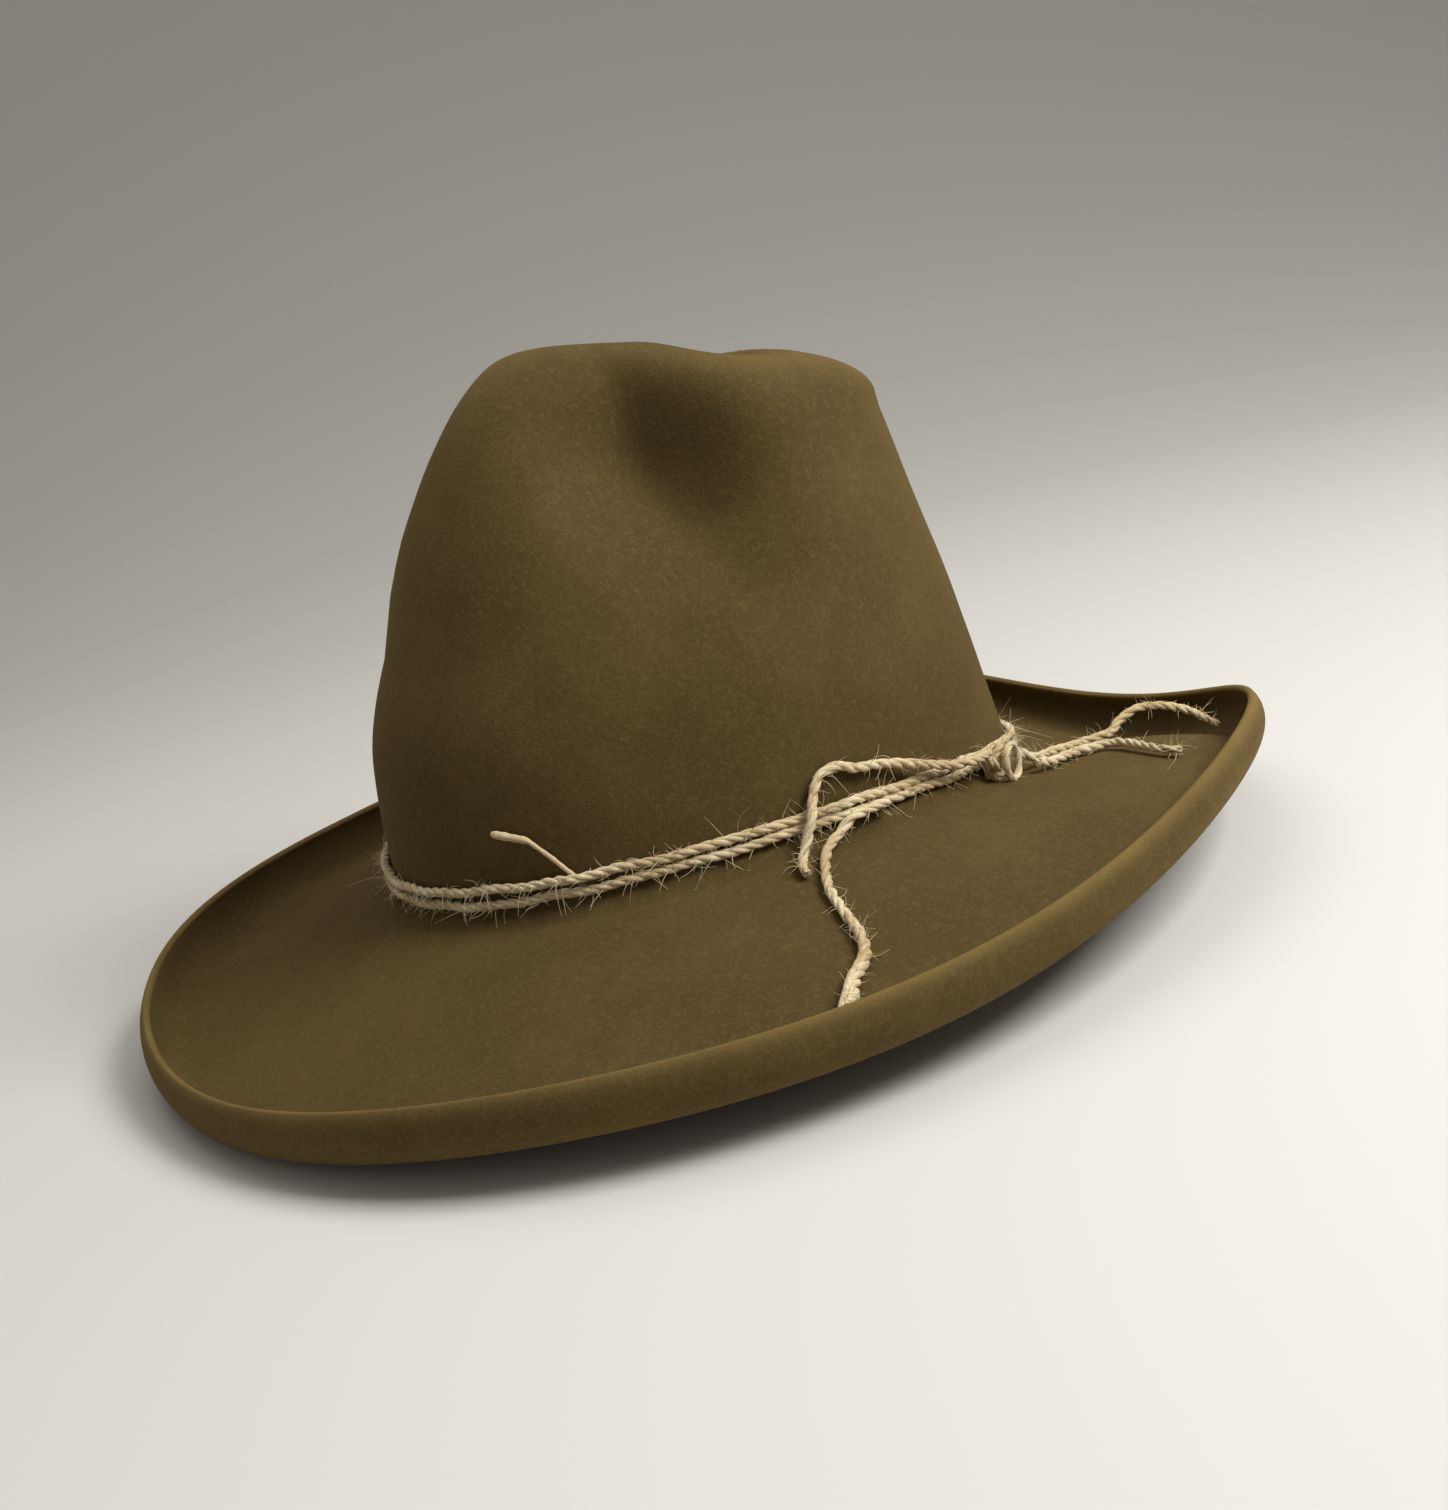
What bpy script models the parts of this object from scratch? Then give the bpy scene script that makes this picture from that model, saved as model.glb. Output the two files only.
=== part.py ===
"""Cowboy hat: felt body, leather sweatband, satin liner, and a tied twine band with a stick tucked in it.

Lengths below are millimetres; meshes are written in metres. +Z is up, the front of the hat is -Y and the
wearer's left is +X. The hat rests on the curled edge of its brim at z = 0.
"""
from math import cos, pi, radians, sin

import bpy
import numpy as np

# ---- driving dimensions (mm) ----
FELT = 2.2                       # felt thickness
HEAD_A, HEAD_B = 100.0, 87.6     # outer semi-axes of the crown at the band: front-back, side-side
LIP_A, LIP_B = 176.0, 163.8      # plan semi-axes of the brim's lip
CURL_TOP, CURL_UNDER = 7.8, 10.0  # radii of the rolled edge, upper and lower face
LIP_RISE, LIP_IN = 7.0, 7.2      # lip above the curl's centre; curl centre inside the lip
TILT = 0.0054                    # levels the front and rear of the brim on the floor
LIFT = 33.97                     # floor to the crown's break line
SHIFT = 4.16                     # centres the hat front to rear
TOP_H, TOP_SLOPE = 139.9, 0.234   # crown height at mid length, and its fall to the rear
EDGE_FRONT, EDGE_REAR, EDGE_SIDE, EDGE_Y = 94.0, 75.0, 68.5, 2.0
SHOULDER_FRONT, SHOULDER_REAR = 96.0, 17.0
ROUND_FRONT, ROUND_REAR = 0.84, 0.60
WALL = 0.55                      # share of the crown's parameter that is wall
PINCH = dict(y=-20.0, z=112.0, front=30.0, rear=13.0, below=26.0, above=44.0, depth=0.39)
CREASE = dict(front=-2.0, rear=40.1, fade_front=16.4, fade_rear=17.0, depth=18.3, width=30.0)
LEAN_Y, LEAN_X = 0.318, 0.287      # how far the crown's front leans back and narrows
SEG = 56                         # segments round the hat
GAP = 0.5                        # clearance between layers
LINER = 0.5                      # liner thickness
TIP_GAP = 0.9                    # extra clearance of the liner tip
BAND_ROWS = (0.0, 0.25, 0.5, 0.65, 0.75, 0.82, 0.88, 0.94, 1.0)  # rows of the sweatband, low to high
BAND_T, BAND_LOW, BAND_HIGH = 1.0, 4.0, 56.0   # sweatband thickness and edges above the break
REED_D, PIPING_D = 2.2, 1.2
TWINE_D, END_D, LOOP_D, KNOT_D = 2.8, 2.6, 2.2, 2.5
STICK_D = 1.3
STICK_T = radians(39.6)
KNOT_T = radians(117.0)

LINER_OUT = FELT + GAP
LINER_IN = LINER_OUT + LINER
BAND_OUT = LINER_IN + 2.4 * GAP
BAND_IN = BAND_OUT + BAND_T


def smooth(a, b, x):
    """Smooth step from 0 at a to 1 at b."""
    t = np.clip((x - a) / (b - a), 0.0, 1.0)
    return t * t * (3.0 - 2.0 * t)


def break_height(T):
    """Height of the line where crown and brim meet, round the hat."""
    return -5.3 * np.cos(2 * T) + 6.8 * np.cos(T)


def lip_plan(T):
    """Plan outline of the brim's lip."""
    x, y = LIP_B * np.sin(T), -LIP_A * np.cos(T)
    r = 6.1 * np.cos(T) - 1.8 * np.cos(3 * T) - 1.6 * np.cos(4 * T)
    k = 1.0 + r / np.hypot(x, y)
    return x * k, y * k


def lip_height(T):
    """Height of the brim's lip: sides up, front and rear down."""
    return -4.9 - 3.9 * np.cos(T) - 8.2 * np.cos(2 * T) + 4.8 * np.cos(3 * T) - 3.9 * np.cos(4 * T)


def shoulder(T):
    """Height of the shoulder's start, its plan point and its roundness."""
    c, s = np.cos(T), np.sin(T)
    front = (0.5 + 0.5 * c) ** 1.6
    q = (np.abs(s) ** 2.1 + np.abs(c) ** 2.1) ** (-1 / 2.1)
    ex = EDGE_SIDE * s * q
    ey = EDGE_Y - np.where(c > 0, EDGE_FRONT, EDGE_REAR) * c * q
    drop = SHOULDER_REAR + (SHOULDER_FRONT - SHOULDER_REAR) * front
    return ex, ey, TOP_H - TOP_SLOPE * (ey - EDGE_Y) - drop, ROUND_REAR + (ROUND_FRONT - ROUND_REAR) * front


def crown(T, v):
    """Outer face of the crown: T round the hat from the front, v from the break (0) to the top (1)."""
    T = np.asarray(T, float)
    v = np.asarray(v, float) + 0 * T
    T = T + 0 * v
    bx, by = HEAD_B * np.sin(T), -HEAD_A * np.cos(T)
    ex, ey, ze, e = shoulder(T)
    zb = break_height(T)
    g = np.clip(v / WALL, 0, 1)
    th = np.clip((v - WALL) / (1 - WALL), 0, 1) * pi / 2
    k = np.clip(np.cos(th), 0, 1) ** e
    up = np.sin(th) ** e
    above = th > 0
    x = np.where(above, ex * k, bx + (ex - bx) * g)
    y = np.where(above, EDGE_Y + (ey - EDGE_Y) * k, by + (ey - by) * g)
    z = np.where(above, ze + (TOP_H - TOP_SLOPE * (y - EDGE_Y) - ze) * up, zb + (ze - zb) * g)
    front = 0.5 + 0.5 * np.cos(T)
    bow = (0.8 + 1.7 * front ** 3) * np.sin(pi * g) * ~above
    n = np.hypot(x, y) + 1e-9
    x, y = x + bow * x / n, y + bow * y / n
    lean = smooth(40.0, 150.0, z) * smooth(20.0, -60.0, y)
    x, y = x * (1 - LEAN_X * lean), y * (1 - LEAN_Y * lean)
    dy, dz = y - PINCH["y"], z - PINCH["z"]
    f = np.exp(-(dy / np.where(dy < 0, PINCH["front"], PINCH["rear"])) ** 2
               - (dz / np.where(dz < 0, PINCH["below"], PINCH["above"])) ** 2)
    x = x * (1 - PINCH["depth"] * f)
    f = smooth(CREASE["front"], CREASE["front"] + CREASE["fade_front"], y)
    f = f * (1 - smooth(CREASE["rear"] - CREASE["fade_rear"], CREASE["rear"], y))
    z = z - CREASE["depth"] * f * smooth(60, 110, z) * np.exp(-(x / CREASE["width"]) ** 2)
    return np.stack([x, y, z], -1)


def brim(T, t):
    """Upper face of the brim: t from the break (0) to the lip (1)."""
    bx, by = HEAD_B * np.sin(T), -HEAD_A * np.cos(T)
    lx, ly = lip_plan(T)
    w = np.hypot(lx - bx, ly - by)
    dx, dy = (lx - bx) / w, (ly - by) / w
    zb = break_height(T)
    cr, cz = w - LIP_IN, lip_height(T) - LIP_RISE
    a0, a1 = radians(-105), radians(44.4)
    s0, z0 = cr + CURL_TOP * cos(a0), cz + CURL_TOP * sin(a0)
    if t <= 0.68:
        g = t / 0.68
        m1, m0 = -np.tan(radians(15)) * s0, (z0 - zb) * 0.9
        s = s0 * g
        z = ((2 * g**3 - 3 * g**2 + 1) * zb + (g**3 - 2 * g**2 + g) * m0
             + (3 * g**2 - 2 * g**3) * z0 + (g**3 - g**2) * m1)
    else:
        a = a0 + (a1 - a0) * (t - 0.68) / 0.32
        s, z = cr + CURL_TOP * cos(a), cz + CURL_TOP * sin(a)
    return np.stack([bx + dx * s, by + dy * s, z + 0 * s], -1)


def crown_at(T, v, depth):
    """Point at a depth inside (positive) or outside (negative) the crown's outer face."""
    T = np.asarray(T, float)
    v = np.minimum(np.asarray(v, float), 0.9999)
    d = 1e-3
    a = crown(T + d, v) - crown(T - d, v)
    b = crown(T, np.minimum(v + d, 0.99995)) - crown(T, np.maximum(v - d, 0))
    n = np.cross(a, b)
    n = n / np.linalg.norm(n, axis=-1, keepdims=True)
    return crown(T, v) - n * np.asarray(depth, float)[..., None]


def v_at(T, h):
    """Crown parameter at a height above the break line, on the wall."""
    return WALL * h / (shoulder(T)[2] - break_height(T))


def wall(T, h, depth):
    """Point on the crown's wall at a height above the break and a depth inside the outer face."""
    T = np.asarray(T, float)
    return crown_at(T, v_at(T, h), depth)


def seat(points):
    """Level the hat on its brim and turn millimetres into metres."""
    p = np.asarray(points, float).reshape(-1, 3)
    c, s = cos(TILT), sin(TILT)
    return np.stack([p[:, 0], p[:, 1] * c - p[:, 2] * s + SHIFT, p[:, 2] * c + p[:, 1] * s + LIFT], -1) * 0.001


def paint(name, rgb, rough, metallic=0.0):
    """A plain Principled material."""
    m = bpy.data.materials.new(name)
    m.use_nodes = True
    b = m.node_tree.nodes["Principled BSDF"]
    b.inputs["Base Color"].default_value = (*rgb, 1.0)
    b.inputs["Roughness"].default_value = rough
    b.inputs["Metallic"].default_value = metallic
    return m


def add(name, points, faces, rgb, rough):
    """Make one named, closed object facing outwards."""
    me = bpy.data.meshes.new(name)
    me.from_pydata([tuple(p) for p in seat(points)], [], [tuple(f) for f in faces])
    me.update()
    ob = bpy.data.objects.new(name, me)
    bpy.context.scene.collection.objects.link(ob)
    bpy.context.view_layer.objects.active = ob
    ob.select_set(True)
    bpy.ops.object.mode_set(mode="EDIT")
    bpy.ops.mesh.select_all(action="SELECT")
    bpy.ops.mesh.normals_make_consistent(inside=False)
    bpy.ops.object.mode_set(mode="OBJECT")
    ob.select_set(False)
    me.materials.append(paint(name, rgb, rough))
    return ob


def loop_faces(m, n, closed):
    """Quads of m rings of n points; closed joins the last ring to the first."""
    out = []
    for i in range(m if closed else m - 1):
        for j in range(n):
            a, b = i * n, ((i + 1) % m) * n
            out.append((a + j, a + (j + 1) % n, b + (j + 1) % n, b + j))
    return out


def shell(name, rings_out, rings_in, rgb, rough, pole_out=None, pole_in=None):
    """Closed thin body from matching outer and inner rings; poles close it where it has a top."""
    n = len(rings_out[0])
    rings = list(rings_out) + list(rings_in)[::-1]
    pts = np.concatenate(rings)
    faces = loop_faces(len(rings), n, pole_out is None)
    if pole_out is not None:
        k = len(pts)
        pts = np.concatenate([pts, [pole_out, pole_in]])
        last = (len(rings) - 1) * n
        faces += [(j, (j + 1) % n, k) for j in range(n)]
        faces += [(last + j, last + (j + 1) % n, k + 1) for j in range(n)]
    return add(name, pts, faces, rgb, rough)


def curve_through(route, count, closed=False):
    """Even points on a smooth curve through the route points."""
    p = np.asarray(route, float)
    if closed:
        p = np.concatenate([p[-1:], p, p[:2]])
    else:
        p = np.concatenate([[2 * p[0] - p[1]], p, [2 * p[-1] - p[-2]]])
    out = []
    for i in range(1, len(p) - 2):
        for u in np.linspace(0, 1, 24, endpoint=False):
            a, b, c, d = p[i - 1], p[i], p[i + 1], p[i + 2]
            out.append(0.5 * (2 * b + (c - a) * u + (2 * a - 5 * b + 4 * c - d) * u**2
                              + (3 * b - a - 3 * c + d) * u**3))
    if not closed:
        out.append(p[-2])
    out = np.array(out + ([out[0]] if closed else []))
    s = np.concatenate([[0], np.cumsum(np.linalg.norm(np.diff(out, axis=0), axis=1))])
    t = np.linspace(0, s[-1], count + 1)[:-1] if closed else np.linspace(0, s[-1], count)
    return np.stack([np.interp(t, s, out[:, k]) for k in range(3)], -1)


def tube(name, line, d, rgb, rough, closed=False, sides=6, taper=None):
    """Round tube along a line of points."""
    p = np.asarray(line, float)
    m = len(p)
    t = np.roll(p, -1, 0) - np.roll(p, 1, 0) if closed else np.gradient(p, axis=0)
    t /= np.linalg.norm(t, axis=1)[:, None]
    ref = np.array([0.0, 0.0, 1.0]) if abs(t[0][2]) < 0.9 else np.array([1.0, 0.0, 0.0])
    u = np.cross(ref, t[0])
    rings = []
    frames = []
    for i in range(m):
        u = u - t[i] * (u @ t[i])
        u /= np.linalg.norm(u)
        frames.append(u.copy())
    turn = 0.0
    if closed:
        end = frames[-1] - t[0] * (frames[-1] @ t[0])
        w0 = np.cross(t[0], frames[0])
        turn = np.arctan2(end @ w0, end @ frames[0])
    for i in range(m):
        u = frames[i]
        w = np.cross(t[i], u)
        r = 0.5 * d * (taper[i] if taper is not None else 1.0)
        a = np.arange(sides) * 2 * pi / sides - turn * i / m
        rings.append(p[i] + r * (np.cos(a)[:, None] * u + np.sin(a)[:, None] * w))
    faces = loop_faces(m, sides, closed)
    pts = np.concatenate(rings)
    if not closed:
        k = len(pts)
        pts = np.concatenate([pts, [p[0], p[-1]]])
        last = (m - 1) * sides
        faces += [(j, (j + 1) % sides, k) for j in range(sides)]
        faces += [(last + j, last + (j + 1) % sides, k + 1) for j in range(sides)]
    return add(name, pts, faces, rgb, rough)


def v_of(k):
    """Crown parameter of the ring that lies a share k of the way out from the top's centre."""
    return WALL + (1 - WALL) * np.arccos(np.asarray(k) ** (1 / 0.66)) / (pi / 2)


TOP_RINGS = [0.12, 0.26, 0.40, 0.53, 0.65, 0.76, 0.85, 0.92, 0.965, 0.99]
WALL_RINGS = [0.55, 0.46, 0.36, 0.25, 0.13, 0.022]
SEAM = 0.748                     # share of the way out at which the liner's tip meets its side


BRIM_RINGS = [0.03, 0.15, 0.31, 0.48, 0.62, 0.70, 0.76, 0.82, 0.88, 0.94, 1.0]


def around(n=SEG):
    """Angles round the hat."""
    return np.arange(n) * 2 * pi / n


def ring_normals(rings, pole):
    """Outward normal at every point of a stack of rings that starts round the pole."""
    g = np.stack(rings)
    dt = np.roll(g, -1, 1) - np.roll(g, 1, 1)
    ext = np.concatenate([np.broadcast_to(pole, g[:1].shape), g, 2 * g[-1:] - g[-2:-1]])
    dv = ext[2:] - ext[:-2]
    n = np.cross(dv, dt)
    n /= np.linalg.norm(n, axis=-1, keepdims=True)
    if n[3, 0] @ (g[3, 0] - np.array([0, 0, 60.0])) < 0:
        n = -n
    return n


def pole(depth):
    """Point a depth below the middle of the crown's top, square to it."""
    ring = crown(np.radians([0.0, 90.0, 180.0, 270.0]), v_of(0.08))
    n = np.cross(ring[1] - ring[3], ring[2] - ring[0])
    return crown(0.0, 0.99999) - n / np.linalg.norm(n) * depth


def build_felt():
    """Crown and brim, one piece of blocked felt."""
    T = around()
    vs = list(v_of(sorted(TOP_RINGS + [SEAM - 0.012]))) + WALL_RINGS
    rings = [crown(T, v) for v in vs] + [brim(T, t) for t in BRIM_RINGS]
    top = crown(0.0, 0.99999)
    n = ring_normals(rings, top)
    inner = [crown_at(T, v, FELT) for v in vs[:-1]]
    inner += [r - n[i] * FELT for i, r in enumerate(rings) if i >= len(vs) - 1]
    pole_in = pole(FELT)
    lip = 0.5 * (rings[-1] + inner[-1])
    along = rings[-1] - rings[-2]
    lip = lip + 0.45 * FELT * along / np.linalg.norm(along, axis=1)[:, None]
    return shell("felt_body", rings + [lip], inner, (0.085, 0.066, 0.045), 0.95, top, pole_in)


def build_liner():
    """Satin side band, satin tip and the piping over their seam."""
    T = around()
    wall_v = WALL_RINGS[3::-1] + list(v_of(TOP_RINGS[:4:-1]))
    tip_v = list(v_of(TOP_RINGS[:5])) + [v_of(SEAM - 0.012)]
    satin = (0.36, 0.27, 0.15)
    shell("liner_side", [crown_at(T, v, LINER_OUT) for v in wall_v],
          [crown_at(T, v, LINER_IN) for v in wall_v], satin, 0.35)
    shell("liner_tip", [crown_at(T, v, LINER_OUT + TIP_GAP) for v in tip_v],
          [crown_at(T, v, LINER_IN + TIP_GAP) for v in tip_v], satin, 0.35,
          pole(LINER_OUT + TIP_GAP), pole(LINER_IN + TIP_GAP))
    line = crown_at(T, v_of(SEAM), LINER_IN + TIP_GAP + 0.4 + PIPING_D / 2)
    tube("liner_piping", line, PIPING_D, (0.16, 0.10, 0.05), 0.45, closed=True)


def build_sweatband():
    """Leather sweatband with its reed, rear seam strip, bow and size label."""
    T = around()
    hs = BAND_LOW + (BAND_HIGH - BAND_LOW) * np.array(BAND_ROWS)
    shell("sweatband", [wall(T, h, BAND_OUT) for h in hs], [wall(T, h, BAND_IN) for h in hs],
          (0.19, 0.095, 0.042), 0.5)
    tube("sweatband_reed", wall(T, 1.7, 4.2), REED_D, (0.05, 0.035, 0.025), 0.4, closed=True)
    patch("sweatband_seam", 0.0, 3.0, 19.0, 53.0, 0.6, (0.13, 0.065, 0.03), 0.55)
    patch("size_label", 27.0, 8.0, 18.0, 30.0, 0.3, (0.72, 0.69, 0.60), 0.7)
    s = np.linspace(-12, 12, 13)
    half = np.array([4.6, 5.0, 4.6, 3.6, 2.4, 1.5, 1.7, 1.5, 2.4, 3.6, 4.6, 5.0, 4.6])
    thick = np.array([1.0, 1.6, 1.8, 1.7, 1.5, 1.7, 2.4, 1.7, 1.5, 1.7, 1.8, 1.6, 1.0])
    strip("sweatband_bow", s, 11.0, half, thick, (0.06, 0.04, 0.03), 0.4)


def strip(name, s, h0, half, thick, rgb, rough, foot=0.4):
    """Body on the sweatband's inner face at the rear, swept along the wall."""
    rings = []
    for si, hi, ti in zip(s, half, thick):
        a = pi - si / 76.0
        rings.append(np.stack([wall(a, h0 + dh * hi, BAND_IN + foot + dd * ti)
                               for dh, dd in ((-1, 0), (1, 0), (1, 1), (-1, 1))]))
    m = len(rings)
    faces = loop_faces(m, 4, False) + [(3, 2, 1, 0), tuple((m - 1) * 4 + j for j in range(4))]
    add(name, np.concatenate(rings), faces, rgb, rough)


def patch(name, s0, half_width, low, high, thick, rgb, rough):
    """Flat strip on the sweatband's inner face at the rear."""
    rings = []
    for h in np.linspace(low, high, 6):
        row = []
        for ds, dd in ((-1, 0), (0, 0), (1, 0), (1, 1), (0, 1), (-1, 1)):
            a = pi - (s0 + ds * half_width) / 76.0
            row.append(wall(a, h, BAND_IN + 0.4 + dd * thick))
        rings.append(np.stack(row))
    faces = loop_faces(6, 6, False) + [(5, 4, 3, 2, 1, 0), tuple(30 + j for j in range(6))]
    add(name, np.concatenate(rings), faces, rgb, rough)


JUTE = (0.42, 0.32, 0.19)


def turn_line(h0, lift, n=96):
    """Centre line of one turn of twine round the crown."""
    T = around(n)

    def near(a, w):
        return np.exp(-(np.angle(np.exp(1j * (T - a))) / w) ** 2)

    h = h0 + lift * (0.9 * near(radians(22), 0.45) + 0.35 * near(radians(300), 0.6) + 0.3 * np.sin(3 * T))
    out = GAP + TWINE_D / 2 + lift * 1.7 * near(STICK_T, 0.075)
    return wall(T, h, -out)


def knot_frame():
    """Centre of the knot, with its outward, rearward and upward directions."""
    base = wall(KNOT_T, 7.5, 0.0)
    out = wall(KNOT_T, 7.5, -1.0) - base
    out[2] = 0.0
    out /= np.linalg.norm(out)
    rear = np.array([-out[1], out[0], 0.0])
    return base + out * (GAP + TWINE_D + 0.5 + 1.45 + KNOT_D / 2), out, rear, np.array([0.0, 0.0, 1.0])


def build_twine():
    """Two turns of twine, the knot, its small loop and four loose ends."""
    tube("twine_turn_lower", turn_line(4.1, 0.0), TWINE_D, JUTE, 0.9, closed=True)
    tube("twine_turn_upper", turn_line(7.9, 1.0), TWINE_D, JUTE, 0.9, closed=True)
    c, out, rear, up = knot_frame()
    k = 1.45
    t = np.linspace(0, 2 * pi, 60, endpoint=False)
    line = (c + k * ((np.sin(t) + 2 * np.sin(2 * t))[:, None] * rear
                     + (np.cos(t) - 2 * np.cos(2 * t))[:, None] * up - np.sin(3 * t)[:, None] * out))
    tube("twine_knot", line, KNOT_D, JUTE, 0.9, closed=True)
    t = np.linspace(0, 2 * pi, 30, endpoint=False)
    mid = c + out * (k + KNOT_D / 2 + 0.5 + LOOP_D / 2) + rear * 2.0 - up * 1.2
    line = mid + 4.3 * np.cos(t)[:, None] * rear + 5.0 * np.sin(t)[:, None] * up
    tube("twine_loop", line, LOOP_D, JUTE, 0.9, closed=True)
    ends = {
        "twine_end_a": [(87.2, 41.0, 9.8), (89.6, 34.0, 10.6), (90.3, 26.0, 12.0), (90.2, 18.6, 14.4),
                        (88.6, 10.6, 17.6), (87.3, 1.0, 20.2), (86.9, -5.4, 21.4), (86.2, -9.8, 23.4),
                        (86.0, -15.6, 22.8), (87.4, -20.4, 19.4), (90.2, -24.2, 14.8), (91.2, -27.2, 10.4),
                        (92.2, -30.4, 7.0), (94.4, -33.2, 4.9), (97.6, -34.3, 3.3)],
        "twine_end_b": [(91.8, -0.5, 10.6), (91.6, -11.4, 10.6), (91.8, -17.6, 8.0), (94.6, -25.2, 5.2),
                        (103.6, -33.0, 1.2), (114.6, -37.4, -3.5), (122.4, -39.4, -6.7), (128.2, -43.6, -9.3),
                        (133.0, -51.0, -11.5), (139.6, -58.4, -12.2), (147.0, -65.0, -11.0)],
        "twine_end_c": [(81.4, 55.4, 5.4), (82.6, 62.0, 1.4), (79.0, 72.0, -0.6), (77.2, 84.0, -2.4),
                        (78.2, 97.0, -3.0), (77.6, 103.0, -0.9), (77.6, 112.0, 0.0), (79.0, 121.0, -2.1),
                        (83.0, 129.0, -6.6), (86.3, 135.2, -12.2)],
        "twine_end_d": [(88.6, 57.6, 1.7), (87.4, 64.0, 0.0), (85.0, 73.0, -1.2), (84.4, 82.0, -2.3),
                        (88.4, 88.2, -2.3), (98.0, 87.6, -1.8), (109.4, 86.0, -1.8), (114.0, 88.6, -2.5)],
    }
    count = {"twine_end_a": 34, "twine_end_b": 38, "twine_end_c": 36, "twine_end_d": 22}
    for name, route in ends.items():
        tube(name, curve_through(route, count[name]), END_D, JUTE, 0.9)


def build_stick():
    """Thin stick tucked behind the upper turn, snapped and bent near its tip."""
    route = [wall(radians(t), h, -o) for t, h, o in
             ((40.2, 6.6, 1.1), (38.6, 9.8, 1.15), (36.7, 13.8, 1.3), (34.2, 18.6, 1.9), (33.1, 20.4, 2.3),
              (30.4, 22.0, 2.4), (27.1, 23.7, 2.5))]
    taper = np.interp(np.arange(16), [0, 9, 11, 15], [1.0, 1.0, 1.6, 1.7])
    tube("stick", curve_through(route, 16), STICK_D, (0.50, 0.38, 0.24), 0.7, taper=taper)


def main():
    """Empty the scene and build every piece."""
    for ob in list(bpy.data.objects):
        bpy.data.objects.remove(ob, do_unlink=True)
    build_felt()
    build_liner()
    build_sweatband()
    build_twine()
    build_stick()


main()
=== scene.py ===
"""Looks of a cowboy hat: blocked felt, a tied jute twine band, a leather sweatband and a satin liner.

Sizes and routes are in millimetres about the crown's break line, and HatForm.seat turns them into the
frame's metres.
"""
from __future__ import annotations

import logging
from collections.abc import Callable
from dataclasses import dataclass
from enum import Enum
from math import cos, pi, radians, sin

import bpy
import numpy as np
from mathutils import Matrix, Vector, noise

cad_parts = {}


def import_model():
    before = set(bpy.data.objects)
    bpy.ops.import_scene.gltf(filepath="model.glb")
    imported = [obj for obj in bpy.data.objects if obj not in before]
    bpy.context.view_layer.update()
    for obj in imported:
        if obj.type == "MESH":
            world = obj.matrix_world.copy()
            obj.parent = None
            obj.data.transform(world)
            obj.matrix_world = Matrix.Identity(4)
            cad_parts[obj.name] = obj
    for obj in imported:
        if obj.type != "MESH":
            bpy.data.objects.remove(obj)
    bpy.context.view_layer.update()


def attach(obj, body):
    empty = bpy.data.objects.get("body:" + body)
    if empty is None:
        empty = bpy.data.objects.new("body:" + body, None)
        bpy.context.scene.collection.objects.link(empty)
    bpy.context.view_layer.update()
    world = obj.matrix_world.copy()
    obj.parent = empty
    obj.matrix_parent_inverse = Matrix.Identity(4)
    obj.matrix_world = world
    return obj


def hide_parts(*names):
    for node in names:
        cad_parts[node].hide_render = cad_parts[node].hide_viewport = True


LOG = logging.getLogger("hat")
MM = 0.001
Array = np.ndarray


class Body(str, Enum):
    """Bodies of the frame that pieces ride on."""

    HAT = "hat"
    TWINE = "twine_band"
    STICK = "stick"


# ---------------------------------------------------------------- shape of the hat


def smooth(a: float, b: float, x: Array) -> Array:
    """Smooth step from 0 at a to 1 at b."""
    t = np.clip((x - a) / (b - a), 0.0, 1.0)
    return t * t * (3.0 - 2.0 * t)


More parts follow.
